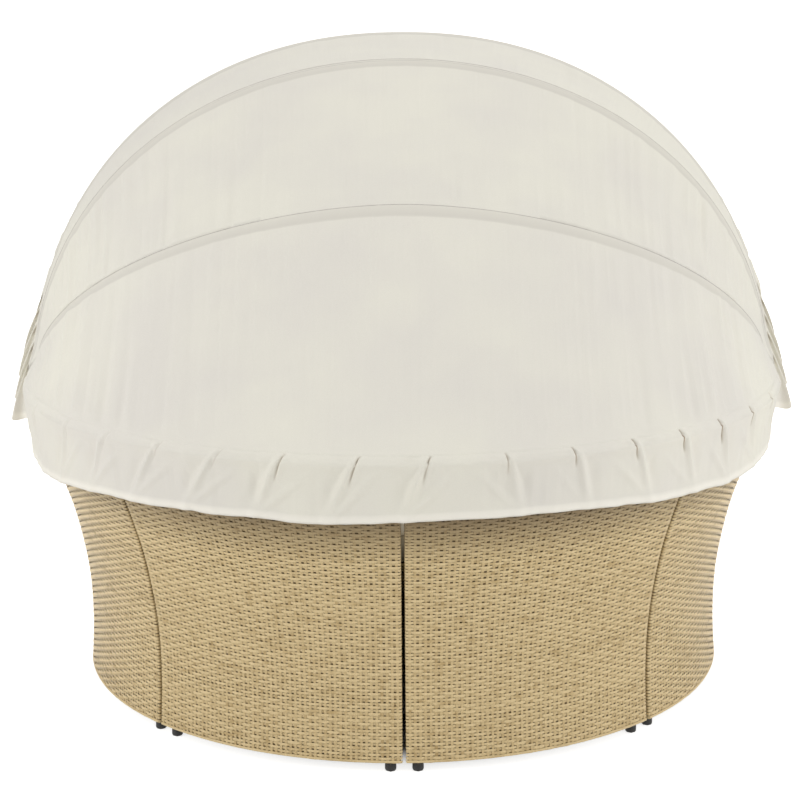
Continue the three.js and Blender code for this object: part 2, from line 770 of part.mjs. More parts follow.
function addHoops() {
  const rear = add("rear_hoop", hoopTube(rearHoopPoints(), rearLugX, pivotSetBack), hoopFinish);
  rear.position.z = pivotHeight;
  for (const [name, hoop] of [
    ["second_hoop", hoopTwo],
    ["third_hoop", hoopThree],
    ["front_hoop", hoopFront],
  ]) {
    const mesh = add(name, hoopTube(foldingHoopPoints(hoop), hoop.halfWidth, 0), hoopFinish);
    mesh.position.set(0, pivotSetBack, pivotHeight);
    mesh.rotation.x = radians(hoop.angle);
  }
}

// Hardware at the two pivots.

function disc(radius, hole, length, sides) {
  const outline = [...rectangle(hole, radius, -length / 2, length / 2), [hole, -length / 2]];
  return lathed(outline, sides).rotateY(Math.PI / 2);
}

function addPivots() {
  const bracketOuterX = bracketInnerX + bracketThickness;
  const earRadius = pivotHeight - backHeight - touchGap;
  const lugXs = [hoopFront, hoopThree, hoopTwo].map((hoop) => hoop.halfWidth);
  const washerXs = {
    outer: lugXs[0] + stackStep / 2,
    middle: lugXs[0] - stackStep / 2,
    inner: lugXs[1] - stackStep / 2,
  };
  const nutX = lugXs[2] - lugThickness / 2 - 2 * touchGap - nutLength / 2;
  for (const [name, side] of [
    ["left", 1],
    ["right", -1],
  ]) {
    const foot = boxBetween(
      point(bracketX, pivotSetBack - bracketWidth / 2, backHeight + touchGap),
      point(bracketOuterX, pivotSetBack + bracketWidth / 2, footTop),
    );
    const ear = boxBetween(
      point(bracketInnerX, pivotSetBack - earRadius, backHeight + touchGap),
      point(bracketOuterX, pivotSetBack + earRadius, pivotHeight),
    );
    const round = new THREE.CylinderGeometry(earRadius, earRadius, bracketThickness, roundSides)
      .rotateZ(Math.PI / 2)
      .translate(bracketInnerX + bracketThickness / 2, pivotSetBack, pivotHeight);
    const bracketMiddle = bracketInnerX + bracketThickness / 2;
    const hole = boltHole(bracketThickness * 4).translate(bracketMiddle, pivotSetBack, pivotHeight);
    const holes = bracketScrewPlaces(1).map((place) => screw(place, screwHoleGap, overrun));
    const bracket = cut(joined([foot, ear, round]), [hole, ...holes]);
    add(`canopy_bracket_${name}`, mirroredTo(bracket, side), zincFinish);
    const shankEnd = nutX - nutLength / 4 + touchGap;
    const headX = bracketOuterX + touchGap;
    const bolt = lathed(
      [
        [0, shankEnd],
        [boltRadius, shankEnd],
        [boltRadius, headX],
        [boltHeadRadius, headX],
        [boltHeadRadius * 0.8, headX + boltHeadThickness],
        [0, headX + boltHeadThickness],
      ],
      roundSides,
    ).rotateY(Math.PI / 2);
    const placedBolt = mirroredTo(bolt, side).translate(0, pivotSetBack, pivotHeight);
    add(`pivot_bolt_${name}`, placedBolt, zincFinish);
    for (const [place, x] of Object.entries(washerXs)) {
      const washer = disc(washerRadius, boltRadius + boltHoleGap, washerThickness, roundSides);
      washer.translate(side * x, pivotSetBack, pivotHeight);
      add(`pivot_washer_${place}_${name}`, washer, plasticFinish);
    }
    const bore = (boltRadius + boltHoleGap) / Math.cos(Math.PI / nutSides);
    const nut = lathed(
      [
        [0, -nutLength / 2],
        [nutRadius * 0.6, -nutLength / 2],
        [nutRadius, -nutLength / 4],
        [nutRadius, nutLength / 2],
        [bore, nutLength / 2],
        [bore, -nutLength / 4],
        [0, -nutLength / 4],
      ],
      nutSides,
    ).rotateY(Math.PI / 2);
    const placedNut = mirroredTo(nut, side).translate(side * nutX, pivotSetBack, pivotHeight);
    add(`pivot_cap_nut_${name}`, placedNut, zincFinish);
    const [front, back] = bracketScrewPlaces(side);
    add(`bracket_screw_front_${name}`, screw(front, 0, 0), zincFinish);
    add(`bracket_screw_back_${name}`, screw(back, 0, 0), zincFinish);
  }
}

// Cradles that the rear hoop lies in, on the rim.
function addCradles() {
  const height = cradleFoot + tubeRadius / 2;
  const names = ["outer_right", "rear_right", "rear_left", "outer_left"];
  const bore = (tubeRadius + touchGap) / Math.cos(Math.PI / roundSides);
  cradleRuns.forEach(({ radius, bearing }, i) => {
    const block = new THREE.BoxGeometry(cradleInner + cradleOuter, cradleLength, height);
    block.translate((cradleOuter - cradleInner) / 2, 0, cradleFloor + height / 2);
    const channel = new THREE.CylinderGeometry(bore, bore, cradleLength * 2, roundSides);
    const placed = turnedTo(block.translate(radius, 0, 0), bearing);
    const groove = turnedTo(channel.translate(radius, 0, pivotHeight), bearing);
    const cradle = cut(placed, [groove, screw(cradleScrewPlaces[i], screwHoleGap, overrun)]);
    add(`hoop_cradle_${names[i]}`, cradle, plasticFinish);
    add(`cradle_screw_${names[i]}`, screw(cradleScrewPlaces[i], 0, 0), zincFinish);
  });
}

// Canopy cloth.

// Where a folding hoop runs at rest: its middle line, the way out in its plane and the way forward.
function hoopFrame(hoop, along) {
  const angle = radians(hoop.angle);
  const step = 1e-4;
  const p = hoopPoint(hoop, along);
  const before = hoopPoint(hoop, Math.max(0, along - step));
  const run = hoopPoint(hoop, Math.min(1, along + step)).sub(before).normalize();
  const place = (x, y) => point(x, y * Math.cos(angle), y * Math.sin(angle));
  return {
    middle: place(p.x, p.y).add(point(0, pivotSetBack, pivotHeight)),
    out: place(run.y, -run.x),
    forward: point(0, -Math.sin(angle), Math.cos(angle)),
  };
}

// The rear hoop in the same terms.
function rearHoopFrame(along, first) {
  const turn = first + (Math.PI - 2 * first) * along;
  const out = point(Math.cos(turn), Math.sin(turn), 0);
  return {
    middle: out.clone().multiplyScalar(rearHoopRadius).add(point(0, 0, pivotHeight)),
    out,
    forward: point(0, 0, 1),
  };
}

// Sweeps a cloth section: each column is a list of [place, way out], and the cloth lies outside its places.
function cloth(columns) {
  const rows = columns[0].length;
  const rings = columns.map((column) => [
    ...column.map(([place, out]) => place.clone().addScaledVector(out, clothThickness)),
    ...column.map(([place]) => place.clone()).reverse(),
  ]);
  const cap = [];
  for (let j = 0; j + 1 < rows; j += 1) {
    const [a, b, c, d] = [j, j + 1, 2 * rows - 2 - j, 2 * rows - 1 - j];
    cap.push([a, b, c], [a, c, d]);
  }
  return loft(rings, cap, rows);
}

// Depth of the tension folds, which fan out from the pivots and run from hoop to hoop.
function tensionFold(along, across, span) {
  const crease = Math.sin(Math.PI * foldCount * along) ** 2;
  const sides = 0.35 + 0.65 * Math.abs(2 * along - 1);
  return foldShare * span * crease * sides * Math.sin(Math.PI * across);
}

// The part of a direction that is square to a hoop's run, at unit length.
function squareTo(frame, direction) {
  const run = frame.out.clone().cross(frame.forward);
  return direction.clone().addScaledVector(run, -direction.dot(run)).normalize();
}

// Moves the edge of a panel along the way forward until it lies on its own side of the seam.
function keptOnSide(place, frame, out, sign) {
  const thickness = Math.min(0, sign * out.dot(frame.forward)) * clothThickness;
  const ahead = sign * place.clone().sub(frame.middle).dot(frame.forward) + thickness;
  return place.addScaledVector(frame.forward, sign * Math.max(0, 3 * seamHalfGap - ahead));
}

// A panel stretched from one hoop over to the next.
function panel(frameLow, frameHigh) {
  const acrossShares = [1 / 3, 2 / 3];
  const columns = [];
  for (let i = 0; i <= hoopSteps; i += 1) {
    const along = i / hoopSteps;
    const low = frameLow(along);
    const high = frameHigh(along);
    const span = low.middle.distanceTo(high.middle);
    const run = high.middle.clone().sub(low.middle).normalize();
    const out = low.out.clone().add(high.out);
    out.addScaledVector(run, -out.dot(run)).normalize();
    const edge = (frame) => frame.middle.clone().addScaledVector(squareTo(frame, out), clothRadius);
    const lowEdge = keptOnSide(edge(low), low, out, 1);
    const highEdge = keptOnSide(edge(high), high, out, -1);
    const top = ({ middle, out: square, forward }, sign) =>
      middle.clone().addScaledVector(square, clothRadius).addScaledVector(forward, sign * seamHalfGap);
    columns.push([
      [top(low, 1), low.out],
      [lowEdge, out],
      ...acrossShares.map((share) => {
        const sag = clothSagShare * span * 4 * share * (1 - share) + tensionFold(along, share, span);
        return [lowEdge.clone().lerp(highEdge, share).addScaledVector(out, -sag), out];
      }),
      [highEdge, out],
      [top(high, -1), high.out],
    ]);
  }
  return cloth(columns);
}

// Share of the way round for a panel's column, which starts where the cloth starts.
const startOn = (hoop) => alongAt(hoop, clothEndHeight);
const onHoop = (hoop) => (along) => hoopFrame(hoop, startOn(hoop) + (1 - 2 * startOn(hoop)) * along);
const onRearHoop = (along) => rearHoopFrame(along, rearClothStart);

// Pleats: a sharp tuck at the seam that opens into a soft fold towards the hem.
function pleat(along, count) {
  const share = (along * count) % 1;
  return share < 0.25 ? share * 4 : (1 - share) / 0.75;
}

function rearValance() {
  const dropShares = [0, 0.18, 1];
  const rimOffset = rimRadius + valanceRimGap - rearHoopRadius;
  const steps = rearPleatCount * rearStepsPerPleat;
  const first = Math.asin(halfGap / rearHoopRadius);
  const columns = [];
  for (let i = 0; i <= steps; i += 1) {
    const along = i / steps;
    const { middle, out } = rearHoopFrame(along, first);
    const fold = rearValanceFoldDepth * pleat(along, rearPleatCount);
    columns.push(
      dropShares.map((share, j) => {
        const offset = j === 0 ? clothRadius + boltHeadThickness / 2 : rimOffset + fold * Math.sqrt(share);
        const place = middle.clone().addScaledVector(out, offset);
        place.z -= rearValanceDrop * share + seamHalfGap * 2;
        return [place, out];
      }),
    );
  }
  return cloth(columns);
}

function frontValance() {
  const steps = frontPleatCount * frontStepsPerPleat;
  const start = alongAt(hoopFront, frontValanceStart);
  const hangShares = [0.45, 1];
  const columns = [];
  for (let i = 0; i <= steps; i += 1) {
    const along = i / steps;
    const { middle, out, forward } = hoopFrame(hoopFront, start + (1 - 2 * start) * along);
    const sideways = Math.abs(out.x);
    const away = forward.clone().multiplyScalar(0.3 + 0.5 * sideways);
    away.addScaledVector(out, 0.5 * sideways).add(point(0, 0, -1)).normalize();
    const wrap = Math.max(valanceLeastWrap, Math.atan2(-away.dot(out), away.dot(forward)));
    const around = (angle) =>
      out.clone().multiplyScalar(Math.cos(angle)).addScaledVector(forward, Math.sin(angle));
    const onTube = (angle) => middle.clone().addScaledVector(around(angle), clothRadius);
    const wave = frontValanceFoldDepth * (1 + Math.cos(2 * Math.PI * (along - 0.5) * frontPleatCount));
    const lip = around(wrap);
    columns.push([
      [onTube(seamHalfGap / clothRadius), out],
      [onTube(wrap / 2 + seamHalfGap / clothRadius), around(wrap / 2)],
      [onTube(wrap + seamHalfGap / clothRadius), lip],
      ...hangShares.map((share) => [
        onTube(wrap)
          .addScaledVector(away, frontValanceDrop * share)
          .addScaledVector(lip, wave * share),
        lip,
      ]),
    ]);
  }
  return cloth(columns);
}

function addCanopy() {
  add("canopy_panel_rear", panel(onRearHoop, onHoop(hoopTwo)), canopyFinish);
  add("canopy_panel_middle", panel(onHoop(hoopTwo), onHoop(hoopThree)), canopyFinish);
  add("canopy_panel_front", panel(onHoop(hoopThree), onHoop(hoopFront)), canopyFinish);
  add("rear_valance", rearValance(), canopyFinish);
  add("front_valance", frontValance(), canopyFinish);
}

addSeats();
addStool();
addClips();
addHoops();
addPivots();
addCradles();
addCanopy();

// The origin is the middle of the overall box, on the floor.
const box = new THREE.Box3().setFromObject(group);
const middle = box.getCenter(new THREE.Vector3());
group.position.set(-middle.x, -middle.y, 0);

export default group;
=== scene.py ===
"""Round outdoor daybed with a folding canopy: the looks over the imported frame.

Metres, +Z up, +Y to the back.
"""

import math
from functools import partial

import bmesh
import bpy
import numpy as np
from mathutils import Matrix, Vector
from mathutils.geometry import tessellate_polygon


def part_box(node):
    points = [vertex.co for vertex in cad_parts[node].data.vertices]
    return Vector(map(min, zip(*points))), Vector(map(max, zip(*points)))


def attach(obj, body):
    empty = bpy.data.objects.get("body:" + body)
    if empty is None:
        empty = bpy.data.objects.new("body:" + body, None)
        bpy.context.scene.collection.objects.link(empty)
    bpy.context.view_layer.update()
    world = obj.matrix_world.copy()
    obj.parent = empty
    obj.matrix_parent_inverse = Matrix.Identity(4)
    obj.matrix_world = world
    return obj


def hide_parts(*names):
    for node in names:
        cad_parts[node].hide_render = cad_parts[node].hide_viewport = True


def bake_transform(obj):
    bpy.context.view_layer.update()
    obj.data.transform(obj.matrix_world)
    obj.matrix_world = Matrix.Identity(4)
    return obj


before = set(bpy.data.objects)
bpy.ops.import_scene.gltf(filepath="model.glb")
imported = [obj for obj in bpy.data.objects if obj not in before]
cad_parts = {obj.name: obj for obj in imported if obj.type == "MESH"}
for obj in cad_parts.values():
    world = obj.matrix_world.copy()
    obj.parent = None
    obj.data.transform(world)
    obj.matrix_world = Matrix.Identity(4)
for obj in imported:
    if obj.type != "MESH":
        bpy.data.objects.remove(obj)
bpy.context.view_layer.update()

# Sizes shared with the solids, in metres, about the middle of the base.
BASE_RADIUS = 0.765
RIM_RADIUS = 0.897
WALL_FOOT = 0.025
RIM_HEIGHT = 0.705
DECK_HEIGHT = 0.300
BACK_THICKNESS = 0.070
HALF_GAP = 0.003
STOOL_RADIUS = 0.260
INNER_RADIUS = 0.266
EDGE_ROUND = 0.010
PIVOT_BACK = 0.050
PIVOT_HEIGHT = 0.7213
TUBE_RADIUS = 0.009
LUG_THICKNESS = 0.004
LUG_HALF_WIDTH = 0.011
LUG_LENGTH = 0.075
LUG_BLEND = 0.045
REAR_HOOP_RADIUS = 0.8795
GLIDE_RADIUS = 0.0123
GLIDE_SET_IN = 0.029
CUSHION_HEIGHT = 0.072
CUSHION_CROWN = 0.026
CUSHION_INSET = 0.007
CUSHION_DRAW_IN = 0.009
WALL_SHARES = [  # share of the height from foot to rim, and share of the way from base to rim
    (0, 0), (0.169, -0.045), (0.34, -0.015), (0.478, 0.091), (0.61, 0.25),
    (0.728, 0.455), (0.846, 0.697), (0.941, 0.886), (1, 1),
]
HOOPS = {  # half width, depth, roundness and angle in degrees
    "second_hoop": (0.856, 0.590, 1.81, 47.2),
    "third_hoop": (0.863, 0.723, 2.03, 99.0),
    "front_hoop": (0.870, 0.870, 2.16, 118.0),
}

# Weave.
ROW_PITCH = 0.00745
STRAND_WIDTH = 0.0060
STAKE_WIDTH = 0.0056
STAKES_PER_WEDGE = 53
WEAVE_DEPTH = 0.0011
SKIN_INSET = 0.0026
SIDE_FACE = HALF_GAP + 0.0012  # from the middle of a split to the strands on its sides
EDGE_TURN = [(0.0021, 0.0009, 0.7), (0.003, 0.003, 1.0), (0.003, 0.0085, 1.0)]  # out, in and share turned
ROLL_RADIUS = 0.0032  # of the rolled lower edge

# Cloth.
CLOTH_RADIUS = 0.0112  # from the middle of a hoop to the cloth over it
SLEEVE_RADIUS = 0.0102
PANEL_COLUMNS = 900
CLOTH_START = 0.013  # along a hoop from its pivot
VALANCE_DROP = 0.137
HEM = 0.019

stool_low, stool_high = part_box("stool_wicker")
CENTRE = np.array([0.0, (stool_low.y + stool_high.y) / 2, 0.0])
WEDGE = math.pi / 4
PIECES = [  # name, first wedge from the back towards +X, wedges taken, and seeds of weave and cushion
    ("seat_outer_right", -2, 1, 20, 70), ("seat_rear_right", -1, 1, 21, 71),
    ("seat_rear_left", 0, 1, 22, 72), ("seat_outer_left", 1, 1, 23, 73),
    ("ottoman_left", 2, 2, 40, 80), ("ottoman_right", 4, 2, 41, 81),
]


# Mesh helpers.

def mesh_object(name, verts, faces, materials, slots=0, values=None):
    """An object from places, arrays of quads or triangles, material slots and values at the places."""
    mesh = bpy.data.meshes.new(name)
    verts = np.asarray(verts, np.float32).reshape(-1, 3)
    loops = np.concatenate([f.ravel() for f in faces]).astype(np.int32)
    sizes = np.concatenate([np.full(len(f), f.shape[1], np.int32) for f in faces])
    mesh.vertices.add(len(verts))
    mesh.vertices.foreach_set("co", verts.ravel())
    mesh.loops.add(len(loops))
    mesh.loops.foreach_set("vertex_index", loops)
    mesh.polygons.add(len(sizes))
    mesh.polygons.foreach_set("loop_start", (np.cumsum(sizes) - sizes).astype(np.int32))
    mesh.polygons.foreach_set("use_smooth", np.full(len(sizes), True))
    mesh.polygons.foreach_set("material_index", np.broadcast_to(slots, (len(sizes),)).astype(np.int32))
    for key, data in values.items():
        attribute = mesh.attributes.new(key, "FLOAT", "POINT")
        attribute.data.foreach_set("value", np.asarray(data, np.float32).ravel())
    mesh.update(calc_edges=True)
    mesh.validate()
    obj = bpy.data.objects.new(name, mesh)
    bpy.context.scene.collection.objects.link(obj)
    for material in materials:
        mesh.materials.append(material)
    return obj


def grid_faces(rows, columns, close_rows=False, close_columns=False):
    """Quads of a grid of rows by columns places."""
    r = np.arange(rows if close_rows else rows - 1)
    c = np.arange(columns if close_columns else columns - 1)
    a, b = np.meshgrid(r, c, indexing="ij")
    a2, b2 = (a + 1) % rows, (b + 1) % columns
    quads = np.stack([a * columns + b, a * columns + b2, a2 * columns + b2, a2 * columns + b], -1)
    return quads.reshape(-1, 4)


def through(rings):
    """Rings of places, and the quads of the surface through them."""
    return rings, grid_faces(*rings.shape[:2], close_columns=True)


def unit(v):
    return v / np.maximum(np.linalg.norm(v, axis=-1, keepdims=True), 1e-12)


def clamp(v):
    return np.clip(v, 0, 1)


def eased(t):
    """The share t of a step with soft ends."""
    return t * t * (3 - 2 * t)


def bell(distance, width):
    """1 where the distance is 0, and next to nothing from two widths on."""
    return np.exp(-((distance / width) ** 2))


def turns(count):
    """Angles spread over a turn."""
    return np.linspace(0, 2 * math.pi, count, endpoint=False)


def at_bearing(radius, bearing, z):
    """Places by radius, bearing from the back towards +X, and height."""
    radius, bearing, z = np.broadcast_arrays(radius, bearing, z)
    return np.stack([radius * np.sin(bearing), radius * np.cos(bearing), z], -1)


def sideways(bearing):
    """The way along the rim at a bearing."""
    return np.stack([np.cos(bearing), -np.sin(bearing), np.zeros_like(bearing)], -1)


def swept(start, end, lean, count):
    """Bearings from start to end, a lean in from both."""
    return start + lean + (end - start - 2 * lean) * np.linspace(0, 1, count)[None, :]


def raised(places, height):
    return places + np.array([0, 0, 1.0]) * np.reshape(height, (-1, 1))


def round_about(one, two, sides):
    """Ways round each point of a line, from its way one towards its way two."""
    turn = turns(sides)[None, :, None]
    return np.cos(turn) * one[:, None] + np.sin(turn) * two[:, None]


def square_to(way, run):
    """A way turned square to another."""
    return unit(way - run * (way * run).sum(-1, keepdims=True))


def hermite(table, q, column=1):
    """Smooth curve through a table of rows, from its first column to another."""
    table, q = np.asarray(table, float), np.asarray(q, float)
    xs, ys = table[:, 0], table[:, column]
    slope = np.gradient(ys, xs)
    i = np.clip(np.searchsorted(xs, q) - 1, 0, len(xs) - 2)
    h = xs[i + 1] - xs[i]
    t = (q - xs[i]) / h
    return (
        (1 + 2 * t) * (1 - t) ** 2 * ys[i]
        + t * (1 - t) ** 2 * h * slope[i]
        + t * t * (3 - 2 * t) * ys[i + 1]
        + t * t * (t - 1) * h * slope[i + 1]
    )


def wall_radius(z):
    share = (np.asarray(z, float) - WALL_FOOT) / (RIM_HEIGHT - WALL_FOOT)
    return BASE_RADIUS + (RIM_RADIUS - BASE_RADIUS) * hermite(WALL_SHARES, share)


def resample(points, count):
    """Points spread evenly along an open line."""
    steps = np.linalg.norm(np.diff(points, axis=0), axis=1)
    along = np.concatenate([[0], np.cumsum(steps)])
    wanted = np.linspace(0, along[-1], count)
    return np.stack([np.interp(wanted, along, points[:, k]) for k in range(points.shape[1])], -1)


def smooth_noise(shape, spacing, seed):
    """Smooth values about 0 on a grid, with features spacing steps apart."""
    local = np.random.default_rng(seed)
    coarse = local.normal(size=[max(4, int(n / s) + 4) for n, s in zip(shape, spacing)])
    out = coarse
    for axis, (n, s) in enumerate(zip(shape, spacing)):
        q = np.arange(n) / s + 1
        i = np.clip(np.floor(q).astype(int), 1, out.shape[axis] - 3)
        t = q - i
        low, high = np.take(out, i, axis), np.take(out, i + 1, axis)
        t = eased(t).reshape([-1 if k == axis else 1 for k in range(out.ndim)])
        out = low * (1 - t) + high * t
    return out


# Materials.

class Surface:
    """A material, with short ways to add nodes and to feed their inputs."""

    def __init__(self, name):
        self.material = bpy.data.materials.new(name)
        self.material.use_nodes = True
        self.nodes, self.links = self.material.node_tree.nodes, self.material.node_tree.links

    def feed(self, made, inputs):
        """Links each socket given to its input, and sets each plain value on it."""
        for key, value in inputs.items():
            if isinstance(value, bpy.types.NodeSocket):
                self.links.new(value, made.inputs[key])
            else:
                made.inputs[key].default_value = value

    def add(self, kind, inputs=None, out=0, **settings):
        """An output of a new node."""
        made = self.nodes.new("ShaderNode" + kind)
        for key, value in settings.items():
            setattr(made, key, value)
        self.feed(made, inputs or {})
        return made.outputs[out]

    def math(self, operation, *values):
        return self.add("Math", dict(enumerate(values)), operation=operation)

    def noise(self, scale, detail, roughness):
        place = self.add("TexCoord", out="Object")
        inputs = {"Vector": place, "Scale": scale, "Detail": detail, "Roughness": roughness}
        return self.add("TexNoise", inputs, out="Fac")

    def ramp(self, source, low, high, start=0.3, end=0.7):
        """A colour between low and high by a grey value."""
        colour = self.add("ValToRGB", {"Fac": source}, out="Color")
        elements = colour.node.color_ramp.elements
        elements[0].position, elements[1].position = start, end
        elements[0].color, elements[1].color = (*low, 1), (*high, 1)
        return colour

    def mixed(self, factor, a, b, blend="MIX"):
        inputs = {0: factor, 6: a, 7: b}
        inputs = {key: (*v, 1) if isinstance(v, tuple) else v for key, v in inputs.items()}
        return self.add("Mix", inputs, out=2, data_type="RGBA", blend_type=blend)

    def reach(self, place):
        """How far a place lies from the middle of the base, on the floor."""
        return self.add("VectorMath", {0: place, 1: tuple(CENTRE)}, out="Value", operation="DISTANCE")

    def shaded(self, inputs, height=None, strength=0.0, distance=0.0):
        """The material, once its shader is fed, with a bump where a height is given."""
        shader = self.nodes["Principled BSDF"]
        self.feed(shader, inputs)
        if height is not None:
            relief = {"Height": height, "Strength": strength, "Distance": distance}
            self.feed(shader, {"Normal": self.add("Bump", relief, out="Normal")})
        return self.material


def linear(r, g, b):
    """The shader's values of a colour given from 0 to 255."""
    return tuple(((v / 255 + 0.055) / 1.055) ** 2.4 if v > 10 else v / 255 / 12.92 for v in (r, g, b))


# The hem is the cloth's own brighter colour; band is painted shade of a hoop seen through the cloth, and
# crease is painted shade in folds.
CLOTH_MARKS_AND_SHADES = {"band": (215, 211, 201), "hem": (246, 242, 232), "crease": (146, 124, 98)}
# Colour of the painted shadow that the rear valance casts on the weave below its hem.
VALANCE_SHADOW_COLOUR = (118, 98, 66)


def fabric(name, colour, shade, coarse, fine, bump, sheen):
    """Woven cloth: soft patches of tint, a fine grain, a brighter hem, painted shade of a hoop on the band
    under it, painted shade in folds, and a bump.
    """
    surface = Surface(name)
    grain = surface.noise(fine, 2.0, 0.7)
    patches = surface.noise(coarse, 3.0, 0.55)
    tint = surface.ramp(patches, linear(*shade), linear(*colour), 0.32, 0.62)
    speck = surface.ramp(grain, (0.93, 0.93, 0.925), (1, 1, 1), 0.35, 0.65)
    base = surface.mixed(1.0, tint, speck, "MULTIPLY")
    for mark, mark_colour in CLOTH_MARKS_AND_SHADES.items():
        share = surface.add("Attribute", out="Fac", attribute_name=mark)
        base = surface.mixed(share, base, linear(*mark_colour))
    inputs = {
        "Base Color": base, "Roughness": 0.85, "Sheen Weight": sheen, "Sheen Roughness": 0.5,
        "Specular IOR Level": 0.25,
    }
    return surface.shaded(inputs, grain, bump, 0.0006)


def valance_shadow_share(surface):
    """From 0 to 1 on the outside of the backrest, up to the hem of the rear valance: how much painted shadow
    of the valance falls there.
    """
    place = surface.add("NewGeometry", out="Position")
    reach = surface.reach(surface.add("VectorMath", {0: place, 1: (1, 1, 0)}, operation="MULTIPLY"))
    axes = surface.add("SeparateXYZ", {0: place}).node.outputs
    outside = surface.math("MULTIPLY_ADD", axes["Z"], -0.38, reach)
    total = 1.0
    for source, low, high, most in (
        (axes["Z"], 0.474, 0.584, 0.95),
        (outside, 0.596, 0.606, 1.0),
        (axes["Y"], 0.0, 0.7, 1.0),
    ):
        limits = {"Value": source, "From Min": low, "From Max": high, "To Max": most}
        total = surface.math("MULTIPLY", total, surface.add("MapRange", limits, out="Result"))
    return total


def strand(name, light, dark):
    """Flat plastic strand: its own tone, lengthwise streaks, a fine ribbed bump and a painted shadow under
    the rear valance.
    """
    surface = Surface(name)
    tone = surface.add("Attribute", out="Fac", attribute_name="tone")
    total = surface.math("ADD", tone, surface.noise(60.0, 3.0, 0.6))
    fleck = surface.noise(420.0, 2.0, 0.6)
    base = surface.ramp(total, linear(*dark), linear(*light), 0.55, 1.45)
    grain = surface.ramp(fleck, (0.86, 0.85, 0.82), (1, 1, 1), 0.35, 0.6)
    base = surface.mixed(1.0, base, grain, "MULTIPLY")
    # Painted shadow of the rear valance, darkest just under its hem.
    base = surface.mixed(valance_shadow_share(surface), base, linear(*VALANCE_SHADOW_COLOUR))
    inputs = {"Base Color": base, "Roughness": 0.42, "Specular IOR Level": 0.4}
    return surface.shaded(inputs, fleck, 0.35, 0.0004)


def plain_weave(name, light, dark):
    """Woven look for decks and hidden sides, as bands across bands."""
    surface = Surface(name)
    place = surface.add("TexCoord", out="Object")
    inputs = {"Vector": place, "Scale": 46.0, "Distortion": 0.4, "Detail": 1.0}
    waves = [surface.add("TexWave", inputs, out="Fac", bands_direction=way) for way in ("X", "Z")]
    crossed = surface.math("MULTIPLY", *waves)
    base = surface.ramp(crossed, linear(*dark), linear(*light), 0.05, 0.6)
    return surface.shaded({"Base Color": base, "Roughness": 0.55}, crossed, 0.7, 0.001)


def coated(name, light, dark, roughness, metallic, scale, bump):
    """Paint, plastic or plated metal with a fine uneven surface."""
    surface = Surface(name)
    patches = surface.noise(scale, 4.0, 0.6)
    base = surface.ramp(patches, linear(*dark), linear(*light))
    limits = {"Value": patches, "To Min": roughness * 0.85, "To Max": roughness * 1.15}
    rough = surface.add("MapRange", limits, out="Result")
    inputs = {"Base Color": base, "Roughness": rough, "Metallic": metallic}
    return surface.shaded(inputs, patches, bump, 0.0003)


WEFT = strand("weft_strand", (226, 203, 156), (193, 167, 118))
STAKE = strand("stake_strand", (215, 191, 143), (182, 155, 106))
# A dark backing behind the strands: painted shade in the gaps of the weave and in the splits.
WEAVE_GAP_SHADE = plain_weave("weave_gap_painted_shade", (124, 100, 62), (82, 63, 36))
DECK = plain_weave("deck_weave", (196, 172, 126), (96, 76, 44))
# Colour, shade, size of patches and of grain, bump and sheen.
COVER = fabric("cushion_cover", (232, 227, 215), (220, 214, 200), 5.0, 900.0, 0.6, 0.15)
PIPING = fabric("cushion_piping", (222, 216, 202), (210, 203, 188), 20.0, 1400.0, 0.6, 0.1)
CANOPY = fabric("canopy_cloth", (237, 234, 222), (230, 226, 218), 2.6, 1100.0, 0.25, 0.1)
SLEEVE = fabric("sleeve_cloth", (228, 223, 216), (218, 213, 206), 6.0, 1100.0, 0.3, 0.1)
# Its grey is partly the thread and partly painted shadow of the fold at the sleeve's upper edge.
SEAM_AND_FOLD_SHADE = fabric("seam_thread_and_fold_shade", (204, 199, 193), (188, 183, 177), 60.0, 2600.0, 0.6, 0.0)
# Light and dark colour, roughness, metallic, size of patches and bump.
FRAME_PAINT = coated("frame_powder_coat", (66, 58, 50), (50, 44, 38), 0.45, 0.3, 700.0, 0.4)
HOOP_PAINT = coated("hoop_powder_coat", (92, 76, 62), (74, 60, 48), 0.4, 0.35, 800.0, 0.4)
PLASTIC = coated("black_plastic", (34, 33, 31), (22, 21, 20), 0.5, 0.0, 300.0, 0.3)
ZINC = coated("zinc_plate", (196, 196, 192), (160, 160, 158), 0.32, 0.95, 240.0, 0.25)


# Weave geometry.

def weave(places, normals, widths, over, seed):
    """Weft ribbons along rows of places; returns verts, quads and tones."""
    rows, stations = places.shape[:2]
    local = np.random.default_rng(seed)
    drift = smooth_noise((rows, stations), (1, 9), seed)[..., None] * 0.0003
    line = places + normals * (over[..., None] * WEAVE_DEPTH + 0.0002) + widths * drift
    half = widths * (STRAND_WIDTH / 2 * (1 + 0.05 * local.normal(size=(rows, 1, 1))))
    sunk = normals * 0.0005
    verts = np.stack([line - half - sunk, line + normals * 0.0004, line + half - sunk], 2)
    corner = np.arange(rows)[:, None] * stations * 3 + np.arange(stations - 1)[None, :] * 3
    faces = [np.stack([a, a + 3, a + 4, a + 1], -1).reshape(-1, 4) for a in (corner, corner + 1)]
    tone = local.normal(size=(rows, 1)) * 0.04
    tone = tone + smooth_noise((rows, stations), (1, 5), seed + 50) * 0.16 + 0.5
    return verts, np.concatenate(faces), np.repeat(tone[..., None], 3, 2).ravel()


